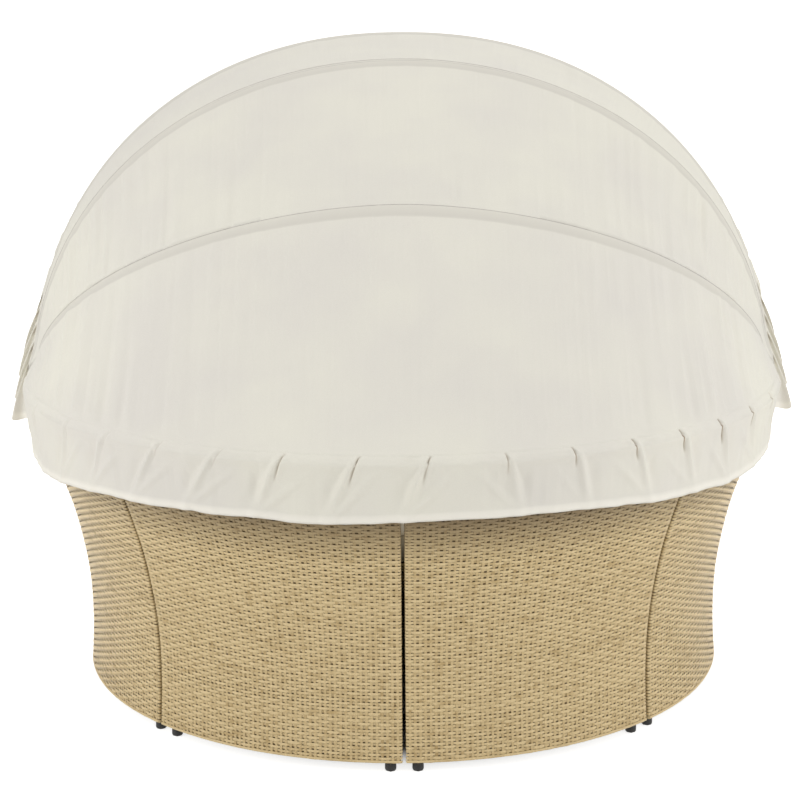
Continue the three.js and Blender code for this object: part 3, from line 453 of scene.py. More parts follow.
def stakes(places, normals, across, over, seed):
    """Stake ribbons down columns of places; returns verts, quads and tones."""
    rows, columns = places.shape[:2]
    local = np.random.default_rng(seed)
    line = places - normals * (over[..., None] * WEAVE_DEPTH * 0.9)
    half = across * (STAKE_WIDTH / 2)
    verts = np.stack([line - half, line + half], 2)
    a = (np.arange(rows - 1)[:, None] * columns + np.arange(columns)[None, :]) * 2
    quads = np.stack([a, a + 1, a + 2 * columns + 1, a + 2 * columns], -1).reshape(-1, 4)
    tone = local.normal(size=(1, columns)) * 0.05
    tone = tone + smooth_noise((rows, columns), (3, 1), seed + 9) * 0.14 + 0.5
    return verts, quads, np.repeat(tone[..., None], 2, 2).ravel()


def over_under(rows, columns):
    """+1 where a weft lies over a stake and -1 where it goes under: over two, under two."""
    k, m = np.meshgrid(np.arange(rows), np.arange(columns), indexing="ij")
    return np.where((m + 2 * (k % 2)) % 4 < 2, 1.0, -1.0)


def half_steps(over, gain=1.0, ends=0.0):
    """How high a weft lies at each stake, halfway between stakes and at both ends."""
    rows, columns = over.shape
    values = np.full((rows, 2 * columns + 1), ends)
    values[:, 1::2] = over
    values[:, 2:-1:2] = (over[:, 1:] + over[:, :-1]) / 2 * gain
    return values


def line_ways(line):
    """The way along a (radius, height) line at each point, and the way out of it."""
    run = unit(np.gradient(line, axis=0))
    return run, np.stack([run[:, 1], -run[:, 0]], -1)


def arc(centre, radius, start, end, count=7):
    angles = np.linspace(start, end, count)
    return [(centre[0] + radius * math.cos(a), centre[1] + radius * math.sin(a)) for a in angles]


def rounded_wall(height, count, far):
    """Points up the wall, round its upper edge and inwards from there as far as told."""
    edge = height - EDGE_ROUND
    low = [(wall_radius(z), z) for z in np.linspace(WALL_FOOT + 0.0035, edge, count)]
    top = float(wall_radius(edge))
    points = low + arc((top - EDGE_ROUND, edge), EDGE_ROUND, 0, math.pi / 2)[1:]
    return np.array(points + far(top, edge), float)


def back_profile():
    """Up the outside of a backrest, over its top and down to the deck."""
    def inside(top, edge):
        inner = arc((top - BACK_THICKNESS + EDGE_ROUND, edge), EDGE_ROUND, math.pi / 2, math.pi)
        heights = np.linspace(edge, DECK_HEIGHT + 0.003, 80)[1:]
        return inner + [(wall_radius(z) - BACK_THICKNESS, z) for z in heights]
    return rounded_wall(RIM_HEIGHT, 120, inside)


def ottoman_profile():
    """Up the outside of an ottoman and onto its deck."""
    return rounded_wall(DECK_HEIGHT, 50, lambda top, edge: [(top - 0.05, DECK_HEIGHT)])


def woven_band(profile, start, end, seed):
    """Wefts and stakes over a profile swept between two bearings, turned round both side edges."""
    length = np.linalg.norm(np.diff(profile, axis=0), axis=1).sum()
    line = resample(profile, int(round(length / ROW_PITCH)) + 1)
    direction, normal = line_ways(line)
    columns = int(round((end - start) / WEDGE * STAKES_PER_WEDGE))
    over = over_under(len(line), columns)
    lean = np.arcsin((SIDE_FACE + 0.003) / line[:, 0])[:, None]
    bearing = swept(start, end, lean, 2 * columns + 1)
    flat = [at_bearing(way[:, :1], bearing, way[:, 1:]) for way in (line, normal, direction)]
    places, normals, widths = flat
    turned = []
    for edge, sign in ((0, -1), (-1, 1)):
        away = sideways(bearing[:, edge]) * sign
        p = [places[:, edge] + away * out - normals[:, edge] * depth for out, depth, _ in EDGE_TURN]
        n = [unit(normals[:, edge] * (1 - turn) + away * turn) for _, _, turn in EDGE_TURN]
        turned.append([np.stack(x[::sign], 1) for x in (p, n, [widths[:, edge]] * len(EDGE_TURN))])
    full = [np.concatenate([first, x, last], 1) for first, x, last in zip(turned[0], flat, turned[1])]
    margin = np.full((len(line), len(EDGE_TURN)), 0.3)
    values = np.concatenate([margin, half_steps(over, 1.08, 0.4), margin], 1)
    stake = stakes(places[:, 1::2], normals[:, 1::2], sideways(bearing[:, 1::2]), over, seed + 3)
    return weave(*full, values, seed), stake


def end_face(bearing, sign, seed):
    """Weave on the open end of a backrest, which faces the front."""
    columns = 6
    height = np.arange(DECK_HEIGHT + 0.006, RIM_HEIGHT - 0.009, ROW_PITCH)
    outer = wall_radius(height)[:, None] - 0.0065
    radius = outer - (BACK_THICKNESS - 0.013) * np.linspace(0, 1, 2 * columns + 1)[None, :]
    places = at_bearing(radius, bearing - sign * np.arcsin(SIDE_FACE / radius), height[:, None])
    normals = np.broadcast_to(sideways(bearing) * sign, places.shape)
    slope = np.gradient(wall_radius(height), height)[:, None]
    widths = np.broadcast_to(unit(at_bearing(slope, bearing, 1.0)), places.shape)
    over = over_under(len(height), columns)
    across = np.broadcast_to(at_bearing(1.0, bearing, 0.0), places[:, 1::2].shape)
    stake = stakes(places[:, 1::2], normals[:, 1::2], across, over, seed + 5)
    return weave(places, normals, widths, half_steps(over), seed), stake


def skin(profile, start, end, side, tall):
    """The body behind the strands: the profile set in, the deck, the inner wall and both sides."""
    line = resample(profile - line_ways(profile)[1] * SKIN_INSET, 70 if tall else 30)
    inside = INNER_RADIUS + 0.001
    rest = [(INNER_RADIUS + 0.004, DECK_HEIGHT - 0.001), (inside, DECK_HEIGHT - 0.004), (inside, WALL_FOOT)]
    outline = np.concatenate([line, rest])
    outline[0, 1] = WALL_FOOT + 0.0005
    steps = int(round((end - start) / WEDGE * 18)) + 1
    bearing = swept(start, end, np.arcsin(side / outline[:, 0])[:, None], steps)
    verts = at_bearing(outline[:, :1], bearing, outline[:, 1:])
    quads = grid_faces(len(outline), steps)
    # Slot 2, behind the strands, is the dark backing of painted shade; slot 3 is the deck and the inner
    # wall.
    slots = np.repeat(np.where(np.arange(len(outline) - 1) < len(line) - 1, 2, 3), steps - 1)
    triangles = np.array(tessellate_polygon([[Vector((r, z, 0)) for r, z in outline]]))
    caps = np.concatenate([triangles * steps, triangles[:, ::-1] * steps + steps - 1])
    return verts, quads, slots, caps


def tube_along(points, radius, closed_line=False, sides=8):
    """Verts and quads of a round tube along points."""
    if closed_line:
        run = unit(np.roll(points, -1, 0) - np.roll(points, 1, 0))
    else:
        run = unit(np.gradient(points, axis=0))
    up = np.broadcast_to(np.array([0.0, 0.0, 1.0]), run.shape).copy()
    flat = np.abs((run * up).sum(-1)) > 0.95
    up[flat] = (1.0, 0.0, 0.0)
    side = unit(np.cross(run, up))
    verts = points[:, None] + round_about(side, np.cross(side, run), sides) * radius
    return verts, grid_faces(len(points), sides, close_rows=closed_line, close_columns=True)


def merged(name, parts, materials):
    """One object of several parts: each is (verts, faces, material slot or slots, tones or None)."""
    verts, tones, faces, slots, offset = [], [], {4: [], 3: []}, {4: [], 3: []}, 0
    for places, part_faces, slot, tone in parts:
        places, corners = places.reshape(-1, 3), part_faces.shape[1]
        verts.append(places)
        faces[corners].append(part_faces + offset)
        slots[corners].append(np.broadcast_to(slot, (len(part_faces),)))
        tones.append(np.full(len(places), 0.5) if tone is None else tone)
        offset += len(places)
    faces, slots = ([np.concatenate(group) for group in kind.values() if group] for kind in (faces, slots))
    values = {"tone": np.concatenate(tones)}
    return mesh_object(name, np.concatenate(verts) + CENTRE, faces, materials, np.concatenate(slots), values)


def woven_piece(name, profile, start, end, tall, seed, open_ends):
    """The weave of a seat or an ottoman over its skin, with a rolled lower edge."""
    weaves = [woven_band(profile, start, end, seed)]
    weaves += [end_face(bearing, sign, seed + 11) for bearing, sign in open_ends]
    parts = [(verts, faces, slot, tone) for pair in weaves for slot, (verts, faces, tone) in enumerate(pair)]
    verts, quads, slots, caps = skin(profile, start, end, HALF_GAP + 0.0035, tall)
    parts += [(verts, quads, slots, None), (verts, caps, 2, None)]
    lean = math.asin((HALF_GAP + 0.003) / BASE_RADIUS)
    foot = np.linspace(start + lean, end - lean, int(round((end - start) / WEDGE * 60)))
    edge = at_bearing(wall_radius(WALL_FOOT) - 0.0012, foot, WALL_FOOT + ROLL_RADIUS)
    tones = smooth_noise((len(foot), 1), (5, 1), seed)[:, 0].repeat(8) * 0.2 + 0.55
    parts.append((*tube_along(edge, ROLL_RADIUS), 0, tones))
    made = merged(name, parts, [WEFT, STAKE, WEAVE_GAP_SHADE, DECK])
    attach(made, "base")
    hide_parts(name)


def build_wicker():
    """The seats and ottomans round the ring, with woven ends where the backrest stops, and the stool."""
    back, low = back_profile(), ottoman_profile()
    for name, first, wedges, seed, _ in PIECES:
        start, end = first * WEDGE, (first + wedges) * WEDGE
        open_ends = {"seat_outer_right": [(start, -1)], "seat_outer_left": [(end, 1)]}.get(name, [])
        tall = wedges == 1
        woven_piece(name + "_wicker", back if tall else low, start, end, tall, seed, open_ends)
    build_stool()


def build_stool():
    """The round stool: a woven drum with a flat top."""
    height = np.arange(WALL_FOOT + 0.0035, DECK_HEIGHT - 0.006, ROW_PITCH)
    over = over_under(len(height), 4 * 38)
    values = half_steps(over)
    bearing = np.broadcast_to(np.linspace(0, 2 * math.pi, values.shape[1])[None, :], values.shape)
    places = at_bearing(STOOL_RADIUS - 0.002, bearing, height[:, None])
    normals = at_bearing(1.0, bearing, 0.0)
    weft = weave(places, normals, np.broadcast_to([0.0, 0.0, 1.0], places.shape), values, 60)
    stake = stakes(places[:, 1::2], normals[:, 1::2], sideways(bearing[:, 1::2]), over, 61)
    around, wall = turns(72), STOOL_RADIUS - 0.0046
    outline = [
        (wall, WALL_FOOT), (wall, DECK_HEIGHT - 0.008), (STOOL_RADIUS - 0.0075, DECK_HEIGHT - 0.002),
        (STOOL_RADIUS - 0.014, DECK_HEIGHT), (0.001, DECK_HEIGHT),
    ]
    drum = np.stack([at_bearing(r, around, z) for r, z in outline])
    # The drum's wall behind the strands is the dark backing of painted shade.
    slots = np.repeat([2, 2, 3, 3], len(around))
    rolled = tube_along(at_bearing(STOOL_RADIUS - 0.008, around, DECK_HEIGHT - 0.006), 0.006, True)
    parts = [(verts, faces, slot, tone) for slot, (verts, faces, tone) in enumerate((weft, stake))]
    parts += [(*through(drum), slots, None), (*rolled, 0, None)]
    made = merged("stool_wicker_woven", parts, [WEFT, STAKE, WEAVE_GAP_SHADE, DECK])
    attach(made, "base")
    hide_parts("stool_wicker")


GLIDE_OUTLINE = [  # radius and height
    (0.0005, 0.0002), (0.0100, 0.0002), (0.0118, 0.0018), (GLIDE_RADIUS, 0.005),
    (0.0121, 0.013), (0.0105, 0.0165), (0.0098, 0.025),
]
FOOT_INSET = 0.0086 + 0.010  # from a wall's surface to the middle of a glide


def build_glides():
    """Round moulded glides over the plain ones."""
    narrow = float(wall_radius(np.linspace(WALL_FOOT, DECK_HEIGHT, 50)).min())
    places = []
    for _, first, wedges, _, _ in PIECES:
        for radius in (narrow - FOOT_INSET, INNER_RADIUS + FOOT_INSET):
            lean = math.asin(GLIDE_SET_IN / radius)
            for bearing in (first * WEDGE + lean, (first + wedges) * WEDGE - lean):
                places.append(at_bearing(radius, bearing, 0.0))
    rings = np.stack([at_bearing(r, turns(24), z) for r, z in GLIDE_OUTLINE])
    parts = [(*through(rings + place), 0, None) for place in places + stool_feet()]
    made = merged("round_glides", parts, [PLASTIC])
    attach(made, "base")


def stool_feet():
    """The places of the stool's four glides, from the reach of its frame."""
    low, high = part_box("stool_frame")
    reach = (high.x - low.x) / 2 * math.cos(math.pi / 18) - 0.0077 - 0.010
    return [at_bearing(reach, k * math.pi / 4, 0.0) for k in (1, 3, 5, 7)]


# Cushions.

def cushion_border(start, end, low, high, inset):
    """Plan outline of a cushion, its corners rounded and its sides drawn in."""
    def side_point(u, v):
        inside = lambda s: CUSHION_DRAW_IN * (1 - (2 * s - 1) ** 4)
        near, far = low + CUSHION_INSET + inset + inside(u), high - CUSHION_INSET - inset - inside(u)
        radius = near + (far - near) * v
        lean = math.asin((HALF_GAP + CUSHION_INSET + inset + inside(v)) / radius)
        return at_bearing(radius, start + lean + (end - start - 2 * lean) * u, 0.0)

    there, back = np.linspace(0, 1, 60), np.linspace(1, 0, 60)
    corners = [side_point(u, 0) for u in there] + [side_point(1, v) for v in there]
    corners += [side_point(u, 1) for u in back] + [side_point(0, v) for v in back]
    line = resample(np.array(corners), 321)[:-1]
    for _ in range(26):
        line = line * 0.5 + (np.roll(line, 1, 0) + np.roll(line, -1, 0)) * 0.25
    return line


def stool_border(inset):
    return at_bearing(STOOL_RADIUS - CUSHION_INSET - inset, turns(240), 0.0)


def wedge_crown(start, end, low, high):
    """How full a cushion is, from 0 at its sides to 1 in its middle, at places in plan."""
    def crown(places):
        turned = np.arctan2(places[:, 0], places[:, 1]) % (2 * math.pi) - start % (2 * math.pi)
        u = ((turned + 0.3) % (2 * math.pi) - 0.3) / (end - start)
        v = (np.hypot(places[:, 0], places[:, 1]) - low) / (high - low)
        return clamp(1 - (2 * u - 1) ** 2) * clamp(1 - (2 * v - 1) ** 2)
    return crown


def cushion(name, border_at, crown, seed):
    """A boxed cushion: crowned top, bulging side band and piping round both edges."""
    floor = DECK_HEIGHT + 0.0005
    top = floor + CUSHION_HEIGHT
    outline, inner = border_at(0.0), border_at(0.008)
    count, centre = len(outline), outline.mean(0)
    joined = clamp(np.minimum(np.arange(count), count - np.arange(count)) / 10)
    pucker, pleat = [smooth_noise((1, count), (1, s), seed + k)[0] * joined for k, s in enumerate((3, 9))]
    rings = [raised(centre + (inner - centre) * share, floor) for share in np.linspace(0.03, 0.94, 16)]
    for inset, z in ((0.0075, 0.0), (0.0035, 0.0015), (0.0, 0.008)):
        rings.append(raised(border_at(inset), floor + z))
    for share in (0.25, 0.5, 0.75):
        bulge = -0.0036 * math.sin(math.pi * share)
        rings.append(raised(border_at(bulge), floor + 0.008 + (CUSHION_HEIGHT - 0.016) * share))
    for inset, z in ((0.0, -0.008), (0.0035, -0.0015), (0.0075, 0.001)):
        rings.append(raised(border_at(inset), top + z))
    for share in np.linspace(0.985, 0.02, 34):
        ring = centre + (inner - centre) * share
        dome = CUSHION_CROWN * (1 - share**6) ** 0.85 * (0.45 + 0.55 * crown(ring))
        near_edge = np.exp(-(((1 - share) / 0.05) ** 1.2)) * (1 - share) / 0.02
        folds = near_edge * (0.0011 * pucker + 0.0012 * pleat)
        swell = 0.0011 * np.sin(19 * ring[:, 0] + seed) * np.sin(16 * ring[:, 1] + 2 * seed) * (1 - share**4)
        rings.append(raised(ring, top + 0.001 + dome + folds + swell))
    parts = [(*through(np.array(rings)), 0, None)]
    edges = np.stack([np.arange(count), np.roll(np.arange(count), -1)], -1)
    for ring, ordered in ((rings[0], edges[:, ::-1]), (rings[-1], edges)):
        fan = np.concatenate([ordered, np.full((count, 1), count)], 1)
        parts.append((np.concatenate([ring, ring.mean(0, keepdims=True)]), fan, 0, None))
    body = merged(name + "_body", parts, [COVER])
    weld(body)
    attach(body, "base")
    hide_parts(name)
    lines = [raised(border_at(0.0014), z) for z in (floor + 0.005, top - 0.004)]
    cords = [(*tube_along(line, 0.0027, True), 0, None) for line in lines]
    piping = merged(name + "_piping", cords, [PIPING])
    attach(piping, "base")


def weld(obj):
    """Joins the places that the parts of a closed form share."""
    work = bmesh.new()
    work.from_mesh(obj.data)
    bmesh.ops.remove_doubles(work, verts=work.verts, dist=1e-6)
    bmesh.ops.recalc_face_normals(work, faces=work.faces)
    work.to_mesh(obj.data)
    work.free()


def build_cushions():
    """A cushion on each deck, up to the backrest's wall or to an ottoman's outer edge."""
    edge = float(wall_radius(DECK_HEIGHT))
    for name, first, wedges, _, seed in PIECES:
        high = edge - BACK_THICKNESS if wedges == 1 else edge
        area = (first * WEDGE, (first + wedges) * WEDGE, INNER_RADIUS, high)
        cushion(name + "_cushion", partial(cushion_border, *area), wedge_crown(*area), seed)
    flat = lambda places: 1 - (places[:, 0] ** 2 + places[:, 1] ** 2) / STOOL_RADIUS**2
    cushion("stool_cushion", stool_border, flat, 90)


# Hoops.

PIVOT = np.array([0, PIVOT_BACK, PIVOT_HEIGHT])
LUG_END = np.array([-0.0108, -0.0103, -0.0092, -0.0075, -0.005, -0.0025, 0.0])  # stations past a pivot
TUBE_SIDES = 20


class Hoop:
    """A hoop's middle line, its way out in its plane and its way forward, square to the plane."""

    def __init__(self, name):
        self.angle = 0.0
        if name == "rear_hoop":
            first = math.asin(PIVOT_BACK / REAR_HOOP_RADIUS)
            turn = np.linspace(first, math.pi - first, 1441)
            x, y = REAR_HOOP_RADIUS * np.cos(turn), REAR_HOOP_RADIUS * np.sin(turn) - PIVOT_BACK
        else:
            half_width, depth, roundness, angle = HOOPS[name]
            turn = np.linspace(0, math.pi, 2881)
            x = np.sign(np.cos(turn)) * np.abs(np.cos(turn)) ** (2 / roundness) * half_width
            y = np.sin(turn) ** (2 / roundness) * depth
            self.angle = math.radians(angle)
        self.line = np.stack([x, y], -1)
        steps = np.linalg.norm(np.diff(self.line, axis=0), axis=1)
        self.along = np.concatenate([[0], np.cumsum(steps)])
        self.length = self.along[-1]

    def at(self, distance):
        """Middle, out and forward at distances along the hoop from its +X pivot."""
        spot = lambda d: np.stack([np.interp(d, self.along, self.line[:, k]) for k in (0, 1)], -1)
        p, run = spot(distance), unit(spot(distance + 0.004) - spot(distance - 0.004))
        c, s = math.cos(self.angle), math.sin(self.angle)
        place = lambda x, y: np.stack([x, y * c, y * s], -1)
        middle = place(p[..., 0], p[..., 1]) + PIVOT
        forward = np.broadcast_to(np.array([0.0, -s, c]), middle.shape)
        return middle, place(run[..., 1], -run[..., 0]), forward

    def between(self, start, count):
        """Evenly spaced distances, a start in from both pivots."""
        return np.linspace(start, self.length - start, count)


HOOP = {name: Hoop(name) for name in ("rear_hoop", *HOOPS)}


def body_of_hoop(name):
    """The rear hoop is fixed in its cradles; each other hoop is a body."""
    return "base" if name == "rear_hoop" else name


def build_hoops():
    """Tubes with flattened ends that are round about the pivot, and their sleeves."""
    for name, hoop in HOOP.items():
        inside = hoop.between(0.0, 150)[1:-1]
        distances = np.concatenate([LUG_END, inside, hoop.length - LUG_END[::-1]])
        middle, out, forward = hoop.at(np.clip(distances, 0.0, hoop.length))
        past = np.minimum(distances, 0) + np.maximum(distances - hoop.length, 0)
        next_in = len(LUG_END) + 1
        first, last = middle[0] - middle[next_in], middle[-1] - middle[-1 - next_in]
        middle = middle + np.where(past[:, None] < 0, unit(first), unit(last)) * np.abs(past)[:, None]
        reach = np.minimum(np.abs(distances), np.abs(hoop.length - distances))
        smooth = eased(np.where(past != 0, 0, clamp((reach - LUG_LENGTH) / LUG_BLEND)))
        thick = LUG_THICKNESS / 2 + (TUBE_RADIUS - LUG_THICKNESS / 2) * smooth
        wide = np.sqrt(np.maximum(LUG_HALF_WIDTH**2 - past**2, 1e-8))
        wide = wide + (TUBE_RADIUS - LUG_HALF_WIDTH) * smooth
        turn = (np.arange(TUBE_SIDES) + 0.5) * 2 * math.pi / TUBE_SIDES
        power = 0.3 + 0.7 * smooth[:, None]
        square = lambda v: np.sign(v) * np.abs(v) ** power
        verts = middle[:, None] + out[:, None] * (square(np.cos(turn)[None]) * thick[:, None])[..., None]
        verts = verts + forward[:, None] * (square(np.sin(turn)[None]) * wide[:, None])[..., None]
        fan = np.array([[0, k + 1, k] for k in range(1, TUBE_SIDES - 1)])
        caps = np.concatenate([fan, fan[:, [0, 2, 1]] + TUBE_SIDES])
        parts = [(*through(verts), 0, None), (verts[[0, -1]], caps, 0, None)]
        made = merged(name + "_tube", parts, [HOOP_PAINT])
        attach(made, body_of_hoop(name))
        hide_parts(name)
        build_sleeve(name, hoop)


def build_sleeve(name, hoop):
    """The cloth pocket round a hoop, with a little slack."""
    distances, sides = hoop.between(LUG_LENGTH + 0.030, 420), 16
    middle, out, forward = hoop.at(distances)
    radius = SLEEVE_RADIUS + smooth_noise((len(distances), sides), (5, 4), len(name)) * 0.0002
    verts = middle[:, None] + round_about(out, forward, sides) * radius[..., None]
    made = merged(name + "_sleeve", [(*through(verts), 0, None)], [SLEEVE])
    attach(made, body_of_hoop(name))


# Canopy panels.

HUB_OUT = 0.8905  # how far out the cloth lies over the ends of the bolts


def wrap_angle(frame_at, direction):
    """Angle of a direction round the hoop, from its way out towards its way forward."""
    _, out, forward = frame_at
    return np.arctan2((direction * forward).sum(-1), (direction * out).sum(-1))


def on_cloth(frame_at, angle, radius=None):
    """Places on the cloth round a hoop, which lies wider over the flattened ends."""
    middle, out, forward = frame_at
    if radius is None:
        share = np.linspace(0, 1, len(middle))
        extra = max(0.002, HUB_OUT - CLOTH_RADIUS - abs(middle[0, 0]))
        radius = CLOTH_RADIUS + extra * bell(np.minimum(share, 1 - share), 0.016)[:, None]
    return middle + (out * np.cos(angle)[..., None] + forward * np.sin(angle)[..., None]) * radius


def panel_lay(low, high, columns):
    """Both hoops' frames, the way out of the panel and the wrap angles, column by column."""
    a = HOOP[low].at(HOOP[low].between(CLOTH_START, columns))
    b = HOOP[high].at(HOOP[high].between(CLOTH_START, columns))
    out = square_to(a[1] + b[1], unit(b[0] - a[0]))
    return a, b, out, wrap_angle(a, out), wrap_angle(b, out)


NEXT_LAY = {  # of the panel in front of a hoop
    "second_hoop": panel_lay("second_hoop", "third_hoop", PANEL_COLUMNS),
    "third_hoop": panel_lay("third_hoop", "front_hoop", PANEL_COLUMNS),
}
BAND_STATIONS = np.array([0.034, 0.0285, 0.0255, 0.022, 0.014, 0.006, 0.0])  # from the upper hoop
# How far under the upper hoop its painted shade reaches on the cloth.
HOOP_SHADE_WIDTH = 0.0275


def tension(columns, rows, seed, lean):
    """Soft folds from hoop to hoop, denser and deeper at the sides."""
    local = np.random.default_rng(seed)
    along = np.linspace(0, 1, columns)[:, None]
    across = np.linspace(0, 1, rows)[None, :]
    total = np.zeros((columns, rows))
    for _ in range(150):
        start = 0.5 + 0.5 * math.copysign(abs(local.uniform(-1, 1)) ** 0.6, local.uniform(-1, 1))
        width = local.uniform(0.003, 0.010)
        depth = local.uniform(-0.0034, 0.0044) * (0.30 + 0.9 * abs(2 * start - 1) ** 1.5)
        shift = local.normal() * 0.008 + lean * math.tanh(5 * (start - 0.5))
        reach = local.uniform(0.5, 1.6)
        root = local.integers(0, 2)
        s = across if root else 1 - across
        envelope = (1 - clamp(s / reach)) ** 0.8 * clamp(s / 0.06)
        centre = start + shift * (across - 0.5)
        total += depth * bell(along - centre, width * (1 + 1.2 * s)) * envelope
    broad = smooth_noise((columns, rows), (columns / 15, rows / 2), seed + 1)
    total += broad * 0.0022 * np.sin(math.pi * across) ** 0.8
    side = np.clip(abs(2 * along - 1) * 1.5 - 0.25, 0.35, 1)
    for spacing, deep in ((4.4, 0.0016), (8.0, 0.0030)):
        fine = smooth_noise((columns, rows), (spacing, rows / 1.3), seed + int(spacing * 10))
        for i in range(rows):
            bent = along[:, 0] - lean * np.tanh(5 * (along[:, 0] - 0.5)) * (across[0, i] - 0.5)
            fine[:, i] = np.interp(bent, along[:, 0], fine[:, i])
        total += fine * deep * side * clamp(across / 0.05) * clamp((1 - across) / 0.12)
    return total


def cloth_sheet(name, places, **values):
    """One sheet over a grid of places, with the shares of its marks, some of which are painted shade."""
    faces = [grid_faces(*places.shape[:2])]
    return mesh_object(name + "_cloth", places + CENTRE, faces, [CANOPY], values=values)


def build_panel(name, low, high, seed, sag, lean, first_angle=None, last_angle=None):
    """A panel from hoop to hoop, wrapped onto both, with a stitched band under the upper one, greyed by
    painted shade of the hoop inside it.
    """
    columns, span, wrap = PANEL_COLUMNS, 34, 5
    a, b, out, start, end = panel_lay(low, high, columns)
    seam_low = start if first_angle is None else first_angle
    seam_high = np.maximum(NEXT_LAY[high][3], end + 0.02) if last_angle is None else last_angle
    lower = np.linspace(0, 1, wrap, endpoint=False)
    rows = [on_cloth(a, seam_low + (start - seam_low) * share) for share in lower]
    bands = [np.zeros(columns)] * wrap
    first, last = on_cloth(a, start), on_cloth(b, end)
    width = np.linalg.norm(last - first, axis=-1)
    folds = tension(columns, span + 1, seed, lean) * clamp(width / 0.25)[:, None]
    near = BAND_STATIONS[:, None] * np.minimum(1, width / 0.12)
    spread = np.linspace(0, 1, span + 2 - len(near))[:, None] * (1 - near[:1] / width)
    for i, share in enumerate(np.concatenate([spread, 1 - near[1:] / width])):
        to_hoop = (1 - share) * width
        calm = np.clip((to_hoop - 0.008) / 0.05, 0.15, 1)
        dip = sag * width * 4 * share * (1 - share) - folds[:, i] * calm
        rows.append(first + (last - first) * share[:, None] - out * dip[:, None])
        # Painted shade of the upper hoop, seen through the cloth in the band under it.
        bands.append(clamp((HOOP_SHADE_WIDTH - to_hoop) / 0.003) * (0.4 + 0.6 * to_hoop / HOOP_SHADE_WIDTH))
    rows += [on_cloth(b, end + (seam_high - end) * share) for share in np.linspace(0, 1, wrap + 1)[1:]]
    # Painted shade over the upper hoop, where the cloth wraps it.
    bands += [np.full(columns, 0.4)] * wrap
    verts = np.stack(rows)
    made = cloth_sheet(name, verts, band=np.stack(bands), hem=np.zeros(verts.shape[:2]))
    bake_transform(made)
    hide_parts(name)
    # The share of the upper hoop's turn at each place, by its angle about the pivots, is worked out here and
    # not used.
    arm = verts - PIVOT
    angle = np.arctan2(arm[..., 2], arm[..., 1])
    share = clamp((angle - HOOP[low].angle) / (HOOP[high].angle - HOOP[low].angle))
    share[:wrap], share[-wrap:] = 0, 1
    return made


def seam_line(name, hoop_name, angle, lift, radius):
    """A stitched seam along a hoop, as a thin cord on the cloth, grey partly as thread and partly as painted
    shadow of the fold at the sleeve's edge.
    """
    frame_at, _, _, start, _ = NEXT_LAY[hoop_name]
    line = on_cloth(frame_at, start + angle, CLOTH_RADIUS + lift)
    made = merged(name, [(*tube_along(line, radius, sides=6), 0, None)], [SEAM_AND_FOLD_SHADE])
    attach(made, hoop_name)


# Valances.

# Tucks of the rear valance: bearing in degrees from the back towards +X, slant, how crisp it is,
# how far down it reaches, and how wide its painted shade is.
TUCKS = [
    (-78, 1, 0.7, 0.25, 0.002), (-67, 1, 0.9, 0.25, 0.002), (-57.5, 1, 1.1, 0.28, 0.002),
    (-48, 0.9, 1.3, 0.34, 0.0022), (-39.5, 0.9, 1.3, 0.30, 0.0022), (-31, 0.8, 1.3, 0.28, 0.0022),
    (-21.9, 0.4, 1.0, 0.26, 0.0022), (-12.8, 0.1, 1.0, 0.30, 0.0028), (-4, -0.6, 1.0, 0.36, 0.0028),
    (4.9, -1.0, 1.1, 0.38, 0.0028), (14.6, -1.1, 1.0, 0.36, 0.0028), (23.3, -1.9, 0.35, 0.3, 0.002),
    (32.6, -1.9, 0.35, 0.3, 0.002), (42.2, -1.8, 0.3, 0.3, 0.002), (52, -1.6, 0.3, 0.3, 0.002),
    (64, -1.4, 0.3, 0.3, 0.002), (76, -1, 0.4, 0.3, 0.002),
]
HEM_LINE = [  # bearing in degrees, and the height of the hem there
    (-90, 0.592), (-73, 0.577), (-57, 0.567), (-47, 0.5705), (-36, 0.577), (-27, 0.5845), (-13, 0.590),
    (0, 0.586), (13, 0.582), (27, 0.582), (41, 0.576), (57, 0.562), (67, 0.557), (75, 0.568), (90, 0.590),
]
VALANCE_OUT = [  # share of the way down, and how far out from the rear hoop's middle line
    (0, 0.0098), (0.05, 0.0148), (0.13, 0.0182), (0.25, 0.0150), (0.5, 0.0085), (0.75, 0.0045), (1, 0.0020),
]
VALANCE_REACH = REAR_HOOP_RADIUS + 0.018


